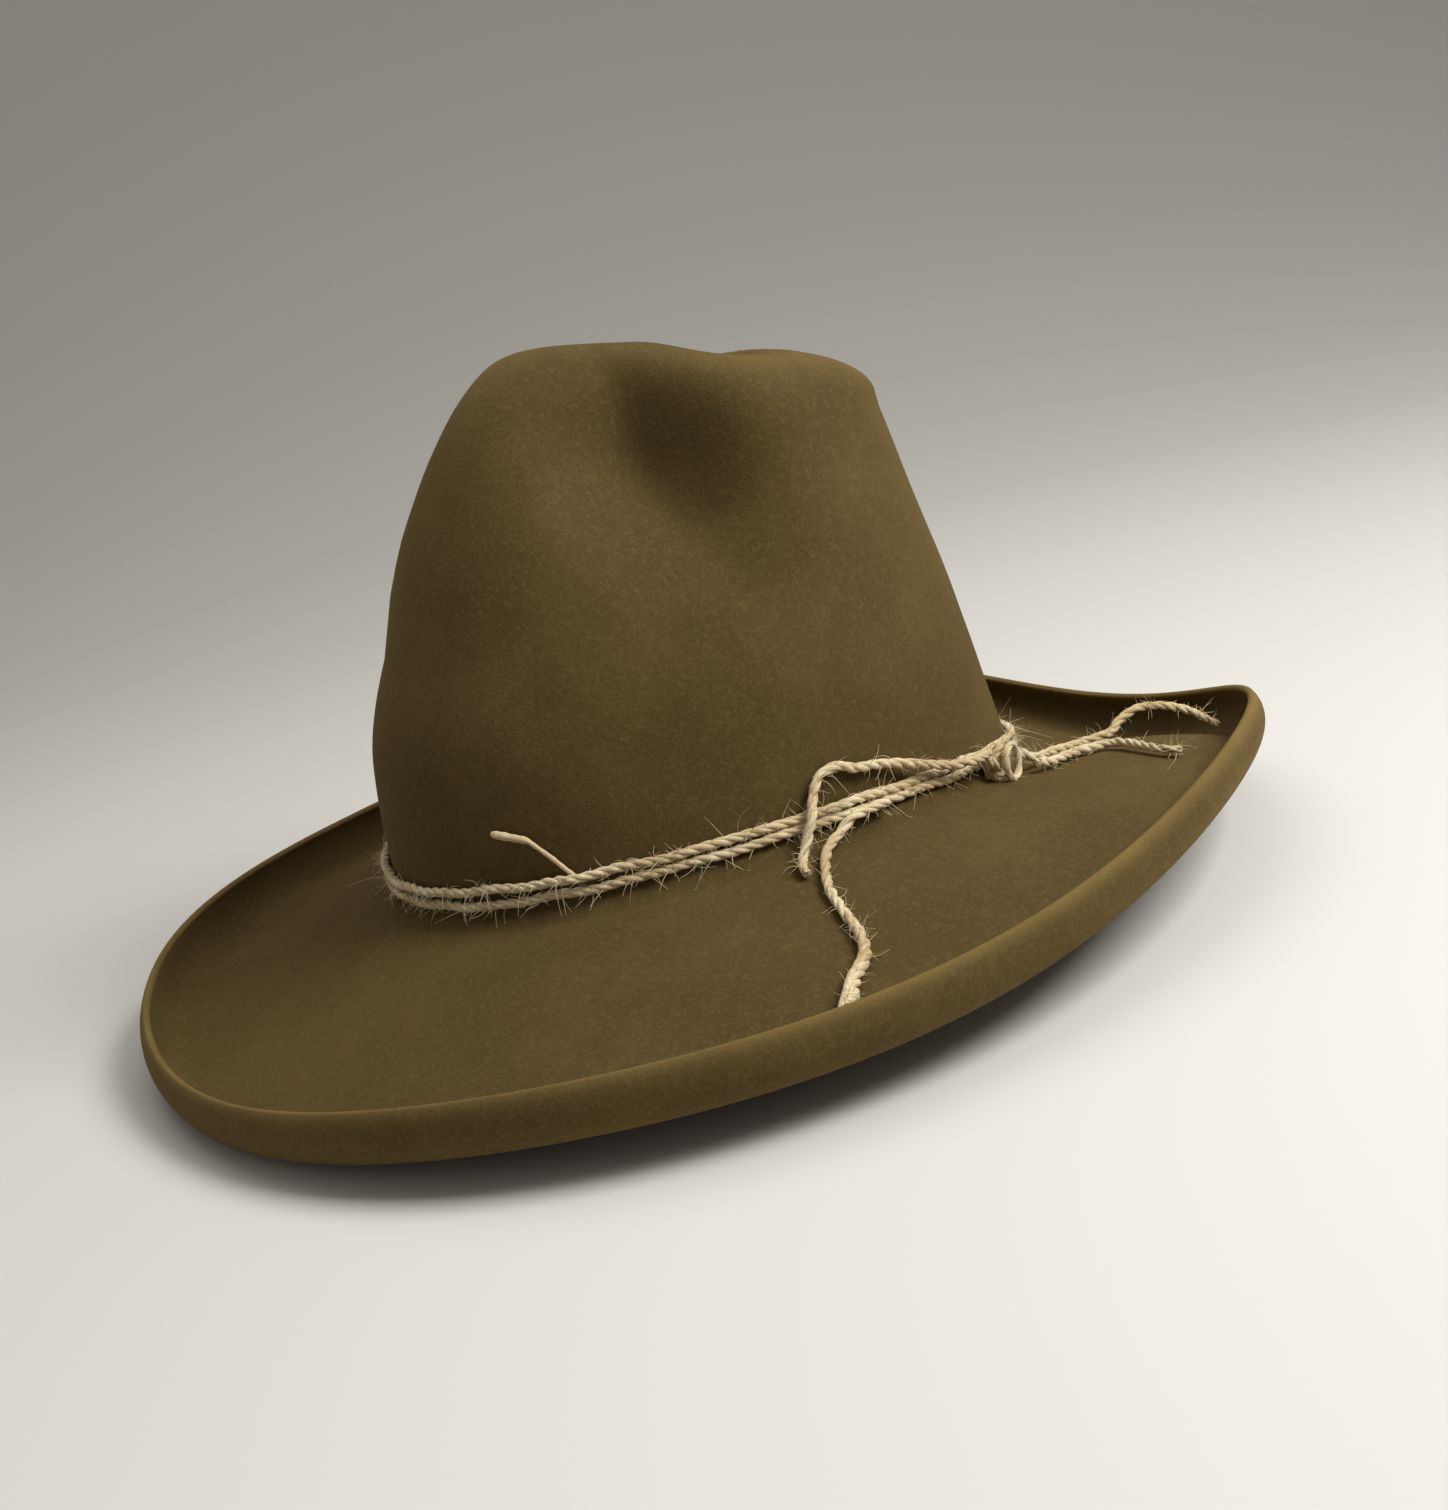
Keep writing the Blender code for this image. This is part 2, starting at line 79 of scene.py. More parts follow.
@dataclass(frozen=True)
class HatForm:
    """Form of the blocked felt, in millimetres about the crown's break line."""

    felt: float = 2.2             # thickness
    head_a: float = 100.0         # half length and half width at the break line
    head_b: float = 87.6
    lip_a: float = 176.0          # half length and half width of the brim
    lip_b: float = 163.8
    curl: float = 7.8             # radius of the brim's roll
    curl_from: float = -105.0     # where the roll starts and ends, in degrees
    curl_to: float = 44.4
    lip_rise: float = 7.0         # the lip above the roll's centre, and the roll's centre inside the plan
    lip_in: float = 7.2
    flat: float = 0.68            # share of the brim's rows that lie before the roll
    top_h: float = 139.9          # height of the top over its middle
    top_slope: float = 0.234
    middle: float = 2.0           # Y of the top's middle
    top_half: float = 68.5        # half width where the shoulder starts, and its reach to front and rear
    top_front: float = 94.0
    top_rear: float = 75.0
    wall: float = 0.55            # share of the crown's rows below the shoulder
    tilt: float = 0.0054          # turn in radians, and moves, that stand the brim level in the frame
    lift: float = 33.97
    shift: float = 4.16
    lean: tuple[float, float] = (0.287, 0.318)                        # in X, in Y
    pinch: tuple[float, ...] = (-20.0, 112.0, 30.0, 13.0, 26.0, 44.0, 0.43)
    # of pinch: Y, Z, spread to front, rear, below and above, depth as a share
    crease: tuple[float, ...] = (-2.0, 14.4, 23.1, 40.1, 18.3, 30.0)  # where it fades in Y, depth, width

    def break_height(self, turn: Array) -> Array:
        """Height of the line where crown and brim meet."""
        return -5.3 * np.cos(2 * turn) + 6.8 * np.cos(turn)

    def lip_plan(self, turn: Array) -> tuple[Array, Array]:
        """Plan outline of the brim's lip.

        Args:
            turn: angle round the hat.

        Returns:
            X and Y.
        """
        x, y = self.lip_b * np.sin(turn), -self.lip_a * np.cos(turn)
        r = 6.1 * np.cos(turn) - 1.8 * np.cos(3 * turn) - 1.6 * np.cos(4 * turn)
        k = 1.0 + r / np.hypot(x, y)
        return x * k, y * k

    def lip_height(self, turn: Array) -> Array:
        """Height of the lip: sides up, front and rear down."""
        return (-4.9 - 3.9 * np.cos(turn) - 8.2 * np.cos(2 * turn) + 4.8 * np.cos(3 * turn)
                - 3.9 * np.cos(4 * turn))

    def shoulder(self, turn: Array) -> tuple[Array, Array, Array, Array]:
        """Start of the crown's shoulder.

        Args:
            turn: angle round the hat.

        Returns:
            X, Y, height and roundness.
        """
        c, s = np.cos(turn), np.sin(turn)
        front = (0.5 + 0.5 * c) ** 1.6
        q = (np.abs(s) ** 2.1 + np.abs(c) ** 2.1) ** (-1 / 2.1)
        ex = self.top_half * s * q
        ey = self.middle - np.where(c > 0, self.top_front, self.top_rear) * c * q
        drop = 17.0 + 79.0 * front
        return ex, ey, self.top_h - self.top_slope * (ey - self.middle) - drop, 0.60 + 0.24 * front

    def crown(self, turn: Array, v: Array) -> Array:
        """Outer face of the crown.

        Args:
            turn: angle round the hat from its front, towards the wearer's left.
            v: 0 at the break, 1 at the top.

        Returns:
            Points, last axis x, y, z.
        """
        turn = np.asarray(turn, float)
        v = np.asarray(v, float) + 0 * turn
        turn = turn + 0 * v
        bx, by = self.head_b * np.sin(turn), -self.head_a * np.cos(turn)
        ex, ey, ze, e = self.shoulder(turn)
        zb = self.break_height(turn)
        g = np.clip(v / self.wall, 0, 1)
        th = np.clip((v - self.wall) / (1 - self.wall), 0, 1) * pi / 2
        k, up = np.clip(np.cos(th), 0, 1) ** e, np.sin(th) ** e
        above = th > 0
        x = np.where(above, ex * k, bx + (ex - bx) * g)
        y = np.where(above, self.middle + (ey - self.middle) * k, by + (ey - by) * g)
        roof = self.top_h - self.top_slope * (y - self.middle)
        z = np.where(above, ze + (roof - ze) * up, zb + (ze - zb) * g)
        bow = (0.8 + 1.7 * (0.5 + 0.5 * np.cos(turn)) ** 3) * np.sin(pi * g) * ~above
        n = np.hypot(x, y) + 1e-9
        x, y = x + bow * x / n, y + bow * y / n
        lean = smooth(40.0, 150.0, z) * smooth(20.0, -60.0, y)
        x, y = x * (1 - self.lean[0] * lean), y * (1 - self.lean[1] * lean)
        py, pz, front, rear, below, over, depth = self.pinch
        dy, dz = y - py, z - pz
        f = np.exp(-(dy / np.where(dy < 0, front, rear)) ** 2 - (dz / np.where(dz < 0, below, over)) ** 2)
        x = x * (1 - depth * f)
        y0, y1, y2, y3, depth, width = self.crease
        f = smooth(y0, y1, y) * (1 - smooth(y2, y3, y))
        z = z - depth * f * smooth(60, 110, z) * np.exp(-(x / width) ** 2)
        return np.stack([x, y, z], -1)

    def crown_at(self, turn: Array, v: Array, depth: Array) -> Array:
        """Point at a depth inside the crown's outer face.

        Args:
            turn: angle round the hat.
            v: 0 at the break, 1 at the top.
            depth: distance inside the face; a negative one is outside.

        Returns:
            Points, last axis x, y, z.
        """
        turn = np.asarray(turn, float)
        v = np.minimum(np.asarray(v, float), 0.9999)
        d = 1e-3
        a = self.crown(turn + d, v) - self.crown(turn - d, v)
        b = self.crown(turn, np.minimum(v + d, 0.99995)) - self.crown(turn, np.maximum(v - d, 0))
        n = np.cross(a, b)
        n = n / np.linalg.norm(n, axis=-1, keepdims=True)
        return self.crown(turn, v) - n * np.asarray(depth, float)[..., None]

    def wall_at(self, turn: Array, height: Array, depth: Array) -> Array:
        """Point on the crown's wall.

        Args:
            turn: angle round the hat.
            height: height above the break.
            depth: distance inside the outer face.

        Returns:
            Points, last axis x, y, z.
        """
        turn = np.asarray(turn, float)
        v = self.wall * height / (self.shoulder(turn)[2] - self.break_height(turn))
        return self.crown_at(turn, v, depth)

    def v_of(self, k: Array) -> Array:
        """Crown parameter of the ring a share k of the way out from the top's centre."""
        return self.wall + (1 - self.wall) * np.arccos(np.asarray(k) ** (1 / 0.66)) / (pi / 2)

    def brim(self, turn: Array, t: Array) -> Array:
        """Upper face of the brim.

        Args:
            turn: angle round the hat.
            t: 0 at the break, 1 at the lip.

        Returns:
            Points, last axis x, y, z.
        """
        bx, by = self.head_b * np.sin(turn), -self.head_a * np.cos(turn)
        lx, ly = self.lip_plan(turn)
        w = np.hypot(lx - bx, ly - by)
        dx, dy = (lx - bx) / w, (ly - by) / w
        zb = self.break_height(turn)
        cr, cz = w - self.lip_in, self.lip_height(turn) - self.lip_rise
        a0, a1 = radians(self.curl_from), radians(self.curl_to)
        s0, z0 = cr + self.curl * cos(a0), cz + self.curl * sin(a0)
        g = np.clip(t / self.flat, 0, 1)
        m1, m0 = -np.tan(radians(15)) * s0, (z0 - zb) * 0.9
        z = ((2 * g**3 - 3 * g**2 + 1) * zb + (g**3 - 2 * g**2 + g) * m0
             + (3 * g**2 - 2 * g**3) * z0 + (g**3 - g**2) * m1)
        a = a0 + (a1 - a0) * np.clip((t - self.flat) / (1 - self.flat), 0, 1)
        rolled = t > self.flat
        s = np.where(rolled, cr + self.curl * np.cos(a), s0 * g)
        z = np.where(rolled, cz + self.curl * np.sin(a), z)
        return np.stack([bx + dx * s, by + dy * s, z], -1)

    def seat(self, points: Array) -> Array:
        """Level the points on the brim and turn millimetres into metres.

        Args:
            points: points about the break line, last axis x, y, z.

        Returns:
            The same points in the frame.
        """
        p = np.asarray(points, float)
        c, s = cos(self.tilt), sin(self.tilt)
        x, y, z = p[..., 0], p[..., 1], p[..., 2]
        return np.stack([x, y * c - z * s + self.shift, z * c + y * s + self.lift], -1) * MM


FORM = HatForm()

# ---------------------------------------------------------------- finishes


def linear(code: str) -> tuple[float, float, float, float]:
    """Linear colour of an sRGB hex value such as 5a4a2e."""
    parts = [int(code[i:i + 2], 16) / 255 for i in (0, 2, 4)]
    return (*[c / 12.92 if c <= 0.04045 else ((c + 0.055) / 1.055) ** 2.4 for c in parts], 1.0)


def add_node(tree: bpy.types.NodeTree, kind: str, settings: dict | None = None,
             links: dict | None = None) -> bpy.types.Node:
    """Add a node with its settings and links.

    Args:
        tree: the material's node tree.
        kind: the node's type.
        settings: values of its inputs, by name or place, or of its own options; "stops" are a colour ramp's
            places and hex colours.
        links: output sockets that feed its inputs, by name or place.

    Returns:
        The new node.
    """
    node = tree.nodes.new(kind)
    for key, value in (settings or {}).items():
        if key == "stops":
            marks = node.color_ramp.elements
            while len(marks) < len(value):
                marks.new(0.5)
            for mark, (place, code) in zip(marks, value):
                mark.position, mark.color = place, linear(code)
        elif isinstance(key, int) or key in node.inputs:
            node.inputs[key].default_value = value
        else:
            setattr(node, key, value)
    for key, socket in (links or {}).items():
        tree.links.new(socket, node.inputs[key])
    return node


def new_material(name: str, rough: float) -> tuple[bpy.types.Material, bpy.types.NodeTree, bpy.types.Node]:
    """Material with a Principled shader.

    Args:
        name: the material's name.
        rough: roughness of the surface.

    Returns:
        The material, its node tree and the shader.
    """
    material = bpy.data.materials.new(name)
    material.use_nodes = True
    tree = material.node_tree
    shader = tree.nodes["Principled BSDF"]
    shader.inputs["Roughness"].default_value = rough
    return material, tree, shader


@dataclass(frozen=True)
class WoolFelt:
    """Blocked wool felt: matt, with a short raised nap and faint mottling. The lip is painted lighter as
    rubbed felt and painted highlight, and the top's rim as painted highlight.
    """

    deep: str = "45381e"
    body: str = "4d3f22"
    pale: str = "574829"
    # pale felt colour: pale flecks in the blend, the rubbed lip, and painted highlight on the lip and the
    # top's rim
    fleck_wear_highlight: str = "776238"
    mottle_mm: float = 34.0   # slow clouds of tone
    fleck_mm: float = 1.6     # pale fibres in the blend, drawn coarse too
    nap_mm: float = 0.9       # real nap is finer; drawn this coarse so that it shows
    fibre_mm: float = 1.3     # matted fibres between the nap, coarse for the same reason

    def make(self) -> bpy.types.Material:
        """Build the material."""
        material, tree, shader = new_material("wool_felt", 0.93)
        shader.inputs["IOR"].default_value = 1.45
        shader.inputs["Specular IOR Level"].default_value = 0.12
        shader.inputs["Sheen Weight"].default_value = 0.22
        shader.inputs["Sheen Roughness"].default_value = 0.55
        shader.inputs["Sheen Tint"].default_value = linear("c9a868")
        place = add_node(tree, "ShaderNodeTexCoord").outputs["Object"]
        cloud = add_node(tree, "ShaderNodeTexNoise",
                         {"Scale": 1000 / self.mottle_mm, "Detail": 5.0, "Roughness": 0.6}, {"Vector": place})
        nap = add_node(tree, "ShaderNodeTexNoise",
                       {"Scale": 1000 / self.nap_mm, "Detail": 3.0, "Roughness": 0.7, "Distortion": 0.6},
                       {"Vector": place})
        mixed = add_node(tree, "ShaderNodeMath", {"operation": "MULTIPLY_ADD", 1: 0.45},
                         {0: nap.outputs[0], 2: cloud.outputs[0]}).outputs[0]
        tone = add_node(tree, "ShaderNodeValToRGB",
                        {"stops": [(0.42, self.deep), (0.72, self.body), (1.0, self.pale)]},
                        {"Fac": mixed}).outputs["Color"]
        fleck = add_node(tree, "ShaderNodeTexNoise",
                         {"Scale": 1000 / self.fleck_mm, "Detail": 1.0, "Distortion": 1.2}, {"Vector": place})
        lift = add_node(tree, "ShaderNodeMapRange", {"From Min": 0.45, "From Max": 0.8, "To Max": 0.3},
                        {"Value": fleck.outputs[0]}).outputs[0]
        tone = add_node(tree, "ShaderNodeMix", {"data_type": "RGBA", 7: linear(self.fleck_wear_highlight)},
                        {0: lift, 6: tone}).outputs[2]
        # lip and top's rim mixed towards the pale colour: on the lip this is rubbed felt and painted
        # highlight, on the top's rim painted highlight
        worn_and_highlit = add_node(tree, "ShaderNodeAttribute", {"attribute_name": "wear"}).outputs["Fac"]
        worn_and_highlit_speck = add_node(tree, "ShaderNodeMath", {"operation": "MULTIPLY"}, {0: worn_and_highlit, 1: mixed}).outputs[0]
        worn_and_highlit_tone = add_node(tree, "ShaderNodeMix", {"data_type": "RGBA", 7: linear(self.fleck_wear_highlight)},
                       {0: worn_and_highlit_speck, 6: tone}).outputs[2]
        tree.links.new(worn_and_highlit_tone, shader.inputs["Base Color"])
        fibre = add_node(tree, "ShaderNodeTexVoronoi",
                         {"feature": "DISTANCE_TO_EDGE", "Scale": 1000 / self.fibre_mm}, {"Vector": place})
        height = add_node(tree, "ShaderNodeMath", {"operation": "ADD"},
                          {0: nap.outputs[0], 1: fibre.outputs[0]}).outputs[0]
        bump = add_node(tree, "ShaderNodeBump", {"Strength": 0.45, "Distance": 0.0003}, {"Height": height})
        tree.links.new(bump.outputs[0], shader.inputs["Normal"])
        rough = add_node(tree, "ShaderNodeMapRange", {"To Min": 0.86, "To Max": 1.0},
                         {"Value": nap.outputs[0]})
        tree.links.new(rough.outputs[0], shader.inputs["Roughness"])
        return material


@dataclass(frozen=True)
class RawJute:
    """Undyed jute: straw coloured, streaked along the fibre, dull."""

    name: str = "raw_jute"
    dark: str = "8a6636"
    mid: str = "cdb485"
    light: str = "f6e8c4"
    blotch_mm: float = 14.0   # length over which the colour of the strand changes

    def make(self) -> bpy.types.Material:
        """Build the material; streaks follow the strand's own UV map."""
        material, tree, shader = new_material(self.name, 0.85)
        shader.inputs["Specular IOR Level"].default_value = 0.25
        shader.inputs["Sheen Weight"].default_value = 0.15
        uv = add_node(tree, "ShaderNodeTexCoord")
        along = add_node(tree, "ShaderNodeMapping", {"Scale": (9.0, 1.0, 1.0)}, {"Vector": uv.outputs["UV"]})
        streak = add_node(tree, "ShaderNodeTexNoise", {"Scale": 4.0, "Detail": 4.0, "Roughness": 0.65},
                          {"Vector": along.outputs[0]})
        blotch = add_node(tree, "ShaderNodeTexNoise", {"Scale": 1000 / self.blotch_mm, "Detail": 3.0},
                          {"Vector": uv.outputs["Object"]})
        mixed = add_node(tree, "ShaderNodeMath", {"operation": "MULTIPLY_ADD", 1: 0.6},
                         {0: blotch.outputs[0], 2: streak.outputs[0]}).outputs[0]
        tone = add_node(tree, "ShaderNodeValToRGB",
                        {"stops": [(0.5, self.dark), (0.76, self.mid), (0.98, self.light)]},
                        {"Fac": mixed}).outputs["Color"]
        tree.links.new(tone, shader.inputs["Base Color"])
        bump = add_node(tree, "ShaderNodeBump", {"Strength": 0.8, "Distance": 0.0003},
                        {"Height": streak.outputs[0]})
        tree.links.new(bump.outputs[0], shader.inputs["Normal"])
        return material


@dataclass(frozen=True)
class TannedLeather:
    """Vegetable tanned sheepskin: fine pebble grain, handled to a soft shine."""

    dark: str = "4f2e18"
    light: str = "8a5a34"
    grain_mm: float = 1.1     # pebble size
    tint_mm: float = 30.0     # clouds of dye

    def make(self) -> bpy.types.Material:
        """Build the material."""
        material, tree, shader = new_material("tanned_leather", 0.5)
        place = add_node(tree, "ShaderNodeTexCoord").outputs["Object"]
        grain = add_node(tree, "ShaderNodeTexVoronoi",
                         {"feature": "DISTANCE_TO_EDGE", "Scale": 1000 / self.grain_mm}, {"Vector": place})
        cloud = add_node(tree, "ShaderNodeTexNoise", {"Scale": 1000 / self.tint_mm, "Detail": 6.0},
                         {"Vector": place})
        tone = add_node(tree, "ShaderNodeValToRGB", {"stops": [(0.3, self.dark), (0.7, self.light)]},
                        {"Fac": cloud.outputs[0]}).outputs["Color"]
        tree.links.new(tone, shader.inputs["Base Color"])
        bump = add_node(tree, "ShaderNodeBump", {"Strength": 0.5, "Distance": 0.0002},
                        {"Height": grain.outputs[0]})
        tree.links.new(bump.outputs[0], shader.inputs["Normal"])
        rough = add_node(tree, "ShaderNodeMapRange", {"To Min": 0.42, "To Max": 0.62},
                         {"Value": cloud.outputs[0]})
        tree.links.new(rough.outputs[0], shader.inputs["Roughness"])
        return material


@dataclass(frozen=True)
class WovenCloth:
    """Woven cloth or ribbon: thread lines over a slow change of tone, with a sheen."""

    name: str
    dark: str
    light: str
    rough: float
    sheen: float
    thread_mm: float = 0.9    # drawn coarse so that the weave shows
    cloud_mm: float = 24.0    # slow change of tone

    def make(self) -> bpy.types.Material:
        """Build the material."""
        material, tree, shader = new_material(self.name, self.rough)
        shader.inputs["Sheen Weight"].default_value = self.sheen
        shader.inputs["Anisotropic"].default_value = 0.4
        where = add_node(tree, "ShaderNodeTexCoord")
        place = where.outputs["Object"]
        # threads run up the cloth: half a metre of it lies across the map, and one streak is thread_mm wide
        up = add_node(tree, "ShaderNodeMapping", {"Scale": (500 / self.thread_mm, 9.0, 1.0)},
                      {"Vector": where.outputs["UV"]})
        warp = add_node(tree, "ShaderNodeTexNoise", {"Scale": 1.0, "Detail": 2.0}, {"Vector": up.outputs[0]})
        cloud = add_node(tree, "ShaderNodeTexNoise", {"Scale": 1000 / self.cloud_mm, "Detail": 3.0},
                         {"Vector": place})
        mixed = add_node(tree, "ShaderNodeMath", {"operation": "MULTIPLY_ADD", 1: 0.35},
                         {0: warp.outputs[0], 2: cloud.outputs[0]}).outputs[0]
        tone = add_node(tree, "ShaderNodeValToRGB", {"stops": [(0.4, self.dark), (0.95, self.light)]},
                        {"Fac": mixed}).outputs["Color"]
        tree.links.new(tone, shader.inputs["Base Color"])
        bump = add_node(tree, "ShaderNodeBump", {"Strength": 0.25, "Distance": 0.0002},
                        {"Height": warp.outputs[0]})
        tree.links.new(bump.outputs[0], shader.inputs["Normal"])
        return material


@dataclass(frozen=True)
class DryWood:
    """Bare dry twig wood: pale, streaked lengthwise."""

    dark: str = "9c8158"
    mid: str = "d3bb92"
    light: str = "efe1c2"

    def make(self) -> bpy.types.Material:
        """Build the material."""
        material, tree, shader = new_material("dry_wood", 0.75)
        uv = add_node(tree, "ShaderNodeTexCoord").outputs["UV"]
        along = add_node(tree, "ShaderNodeMapping", {"Scale": (14.0, 0.6, 1.0)}, {"Vector": uv})
        grain = add_node(tree, "ShaderNodeTexNoise", {"Scale": 3.0, "Detail": 5.0, "Roughness": 0.6},
                         {"Vector": along.outputs[0]})
        tone = add_node(tree, "ShaderNodeValToRGB",
                        {"stops": [(0.3, self.dark), (0.55, self.mid), (0.8, self.light)]},
                        {"Fac": grain.outputs[0]}).outputs["Color"]
        tree.links.new(tone, shader.inputs["Base Color"])
        bump = add_node(tree, "ShaderNodeBump", {"Strength": 0.6, "Distance": 0.0002},
                        {"Height": grain.outputs[0]})
        tree.links.new(bump.outputs[0], shader.inputs["Normal"])
        return material


@dataclass(frozen=True)
class MouldedPlastic:
    """Extruded nylon: even colour, satin face with a fine unevenness from the die."""

    dark: str = "2c221a"
    light: str = "3f3226"
    draw_mm: float = 2.0

    def make(self) -> bpy.types.Material:
        """Build the material."""
        material, tree, shader = new_material("extruded_nylon", 0.4)
        place = add_node(tree, "ShaderNodeTexCoord").outputs["Object"]
        line = add_node(tree, "ShaderNodeTexNoise", {"Scale": 1000 / self.draw_mm, "Detail": 2.0},
                        {"Vector": place})
        tone = add_node(tree, "ShaderNodeValToRGB", {"stops": [(0.35, self.dark), (0.7, self.light)]},
                        {"Fac": line.outputs[0]}).outputs["Color"]
        tree.links.new(tone, shader.inputs["Base Color"])
        rough = add_node(tree, "ShaderNodeMapRange", {"To Min": 0.35, "To Max": 0.5},
                         {"Value": line.outputs[0]})
        tree.links.new(rough.outputs[0], shader.inputs["Roughness"])
        return material


# ---------------------------------------------------------------- modelling helpers


def deselect() -> None:
    """Leave object mode with nothing selected."""
    if bpy.context.object and bpy.context.object.mode != "OBJECT":
        bpy.ops.object.mode_set(mode="OBJECT")
    bpy.ops.object.select_all(action="DESELECT")


def make_active(piece: bpy.types.Object) -> None:
    """Select one piece alone and make it active.

    Args:
        piece: the piece.
    """
    deselect()
    piece.select_set(True)
    bpy.context.view_layer.objects.active = piece


def edit_all(piece: bpy.types.Object, merge: float = 0.0, outwards: bool = True) -> None:
    """Merge doubles and turn faces outwards.

    Args:
        piece: the mesh.
        merge: distance in metres under which points are merged, or 0.
        outwards: whether to recalculate the normals.
    """
    make_active(piece)
    bpy.ops.object.mode_set(mode="EDIT")
    bpy.ops.mesh.select_all(action="SELECT")
    if merge:
        bpy.ops.mesh.remove_doubles(threshold=merge)
    if outwards:
        bpy.ops.mesh.normals_make_consistent(inside=False)
    bpy.ops.object.mode_set(mode="OBJECT")


def apply_modifier(piece: bpy.types.Object, kind: str, **options: object) -> None:
    """Add a modifier with its options and apply it.

    Args:
        piece: the mesh.
        kind: the modifier's type.
        options: values of its settings.
    """
    make_active(piece)
    modifier = piece.modifiers.new(kind.lower(), kind)
    for key, value in options.items():
        setattr(modifier, key, value)
    bpy.ops.object.modifier_apply(modifier=modifier.name)


def dress(piece: bpy.types.Object, material: bpy.types.Material, body: Body, slot: str,
          *nodes: str, shade: float = 60.0) -> bpy.types.Object:
    """Give a piece its finish, its ride and the nodes it stands for.

    Args:
        piece: the finished mesh.
        material: its finish.
        body: the body it rides on.
        slot: the record's material slot; not used.
        nodes: CAD nodes that it replaces.
        shade: angle in degrees under which faces shade smoothly.

    Returns:
        The piece.
    """
    piece.data.materials.clear()
    piece.data.materials.append(material)
    make_active(piece)
    bpy.ops.object.shade_smooth_by_angle(angle=radians(shade))
    deselect()
    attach(piece, body.value)
    if nodes:
        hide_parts(*nodes)
    LOG.info("%s: %d faces", piece.name, len(piece.data.polygons))
    return piece


def flip_faces(piece: bpy.types.Object) -> None:
    """Turn every face of a piece round.

    Args:
        piece: the mesh.
    """
    make_active(piece)
    bpy.ops.object.mode_set(mode="EDIT")
    bpy.ops.mesh.select_all(action="SELECT")
    bpy.ops.mesh.flip_normals()
    bpy.ops.object.mode_set(mode="OBJECT")


def points_of(mesh: bpy.types.Mesh) -> Array:
    """Points of a mesh.

    Args:
        mesh: the mesh.

    Returns:
        Its points, one to a row.
    """
    out = np.empty(len(mesh.vertices) * 3)
    mesh.vertices.foreach_get("co", out)
    return out.reshape(-1, 3)


def new_grid(name: str, columns: int, rows: int) -> bpy.types.Object:
    """Flat grid of unit size, ready to be shaped.

    Args:
        name: the piece's name.
        columns: faces along X.
        rows: faces along Y.

    Returns:
        The new mesh object.
    """
    deselect()
    bpy.ops.mesh.primitive_grid_add(x_subdivisions=columns, y_subdivisions=rows, size=1.0)
    piece = bpy.context.object
    piece.name = piece.data.name = name
    return piece


def new_piece(name: str, points: Array, faces: list[tuple[int, ...]]) -> bpy.types.Object:
    """Mesh object from points and faces.

    Args:
        name: the piece's name.
        points: points in metres, one to a row.
        faces: places of each face's corners in points.

    Returns:
        The new mesh object.
    """
    mesh = bpy.data.meshes.new(name)
    mesh.from_pydata([tuple(point) for point in points], [], faces)
    piece = bpy.data.objects.new(name, mesh)
    bpy.context.scene.collection.objects.link(piece)
    return piece


def wrapped_sheet(name: str, columns: int, rows: int, shape: Callable[[Array, Array], Array],
                  inwards: bool = False) -> bpy.types.Object:
    """Grid wrapped round the hat and shaped by a rule.

    Args:
        name: the piece's name.
        columns: faces round the hat.
        rows: faces along the other way.
        shape: takes arrays of turn and of row share 0 to 1, returns points in metres.
        inwards: whether its open face looks at the head.

    Returns:
        An open sheet with its seam merged.
    """
    piece = new_grid(name, columns, rows)
    mesh = piece.data
    co = points_of(mesh)
    out = shape((co[:, 0] + 0.5) * 2 * pi, np.clip(co[:, 1] + 0.5, 0, 1))
    mesh.vertices.foreach_set("co", out.reshape(-1))
    mesh.update()
    edit_all(piece, merge=2e-6, outwards=False)
    faces = piece.data.polygons
    mid = faces[len(faces) // 2]
    centre = Vector((0.0, FORM.shift * MM, FORM.lift * MM + 0.05))  # inside the crown, 50 mm above the break
    if ((mid.center - centre).dot(mid.normal) < 0) != inwards:
        flip_faces(piece)
    return piece


def curve_through(route: list[tuple[float, float, float]], step: float, closed: bool = False) -> Array:
    """Even points on a smooth curve through route points.

    Args:
        route: points in millimetres.
        step: distance between the new points.
        closed: whether the curve returns to its start.

    Returns:
        Points in millimetres.
    """
    p = np.asarray(route, float)
    p = np.concatenate([p[-1:], p, p[:2]]) if closed else np.concatenate(
        [[2 * p[0] - p[1]], p, [2 * p[-1] - p[-2]]])
    out = []
    for i in range(1, len(p) - 2):
        a, b, c, d = p[i - 1], p[i], p[i + 1], p[i + 2]
        for u in np.linspace(0, 1, 24, endpoint=False):
            out.append(0.5 * (2 * b + (c - a) * u + (2 * a - 5 * b + 4 * c - d) * u**2
                              + (3 * b - a - 3 * c + d) * u**3))
    out = np.array(out + ([out[0]] if closed else [p[-2]]))
    s = np.concatenate([[0], np.cumsum(np.linalg.norm(np.diff(out, axis=0), axis=1))])
    count = max(8, int(round(s[-1] / step)))
    t = np.linspace(0, s[-1], count + 1)[:-1] if closed else np.linspace(0, s[-1], count)
    return np.stack([np.interp(t, s, out[:, k]) for k in range(3)], -1)


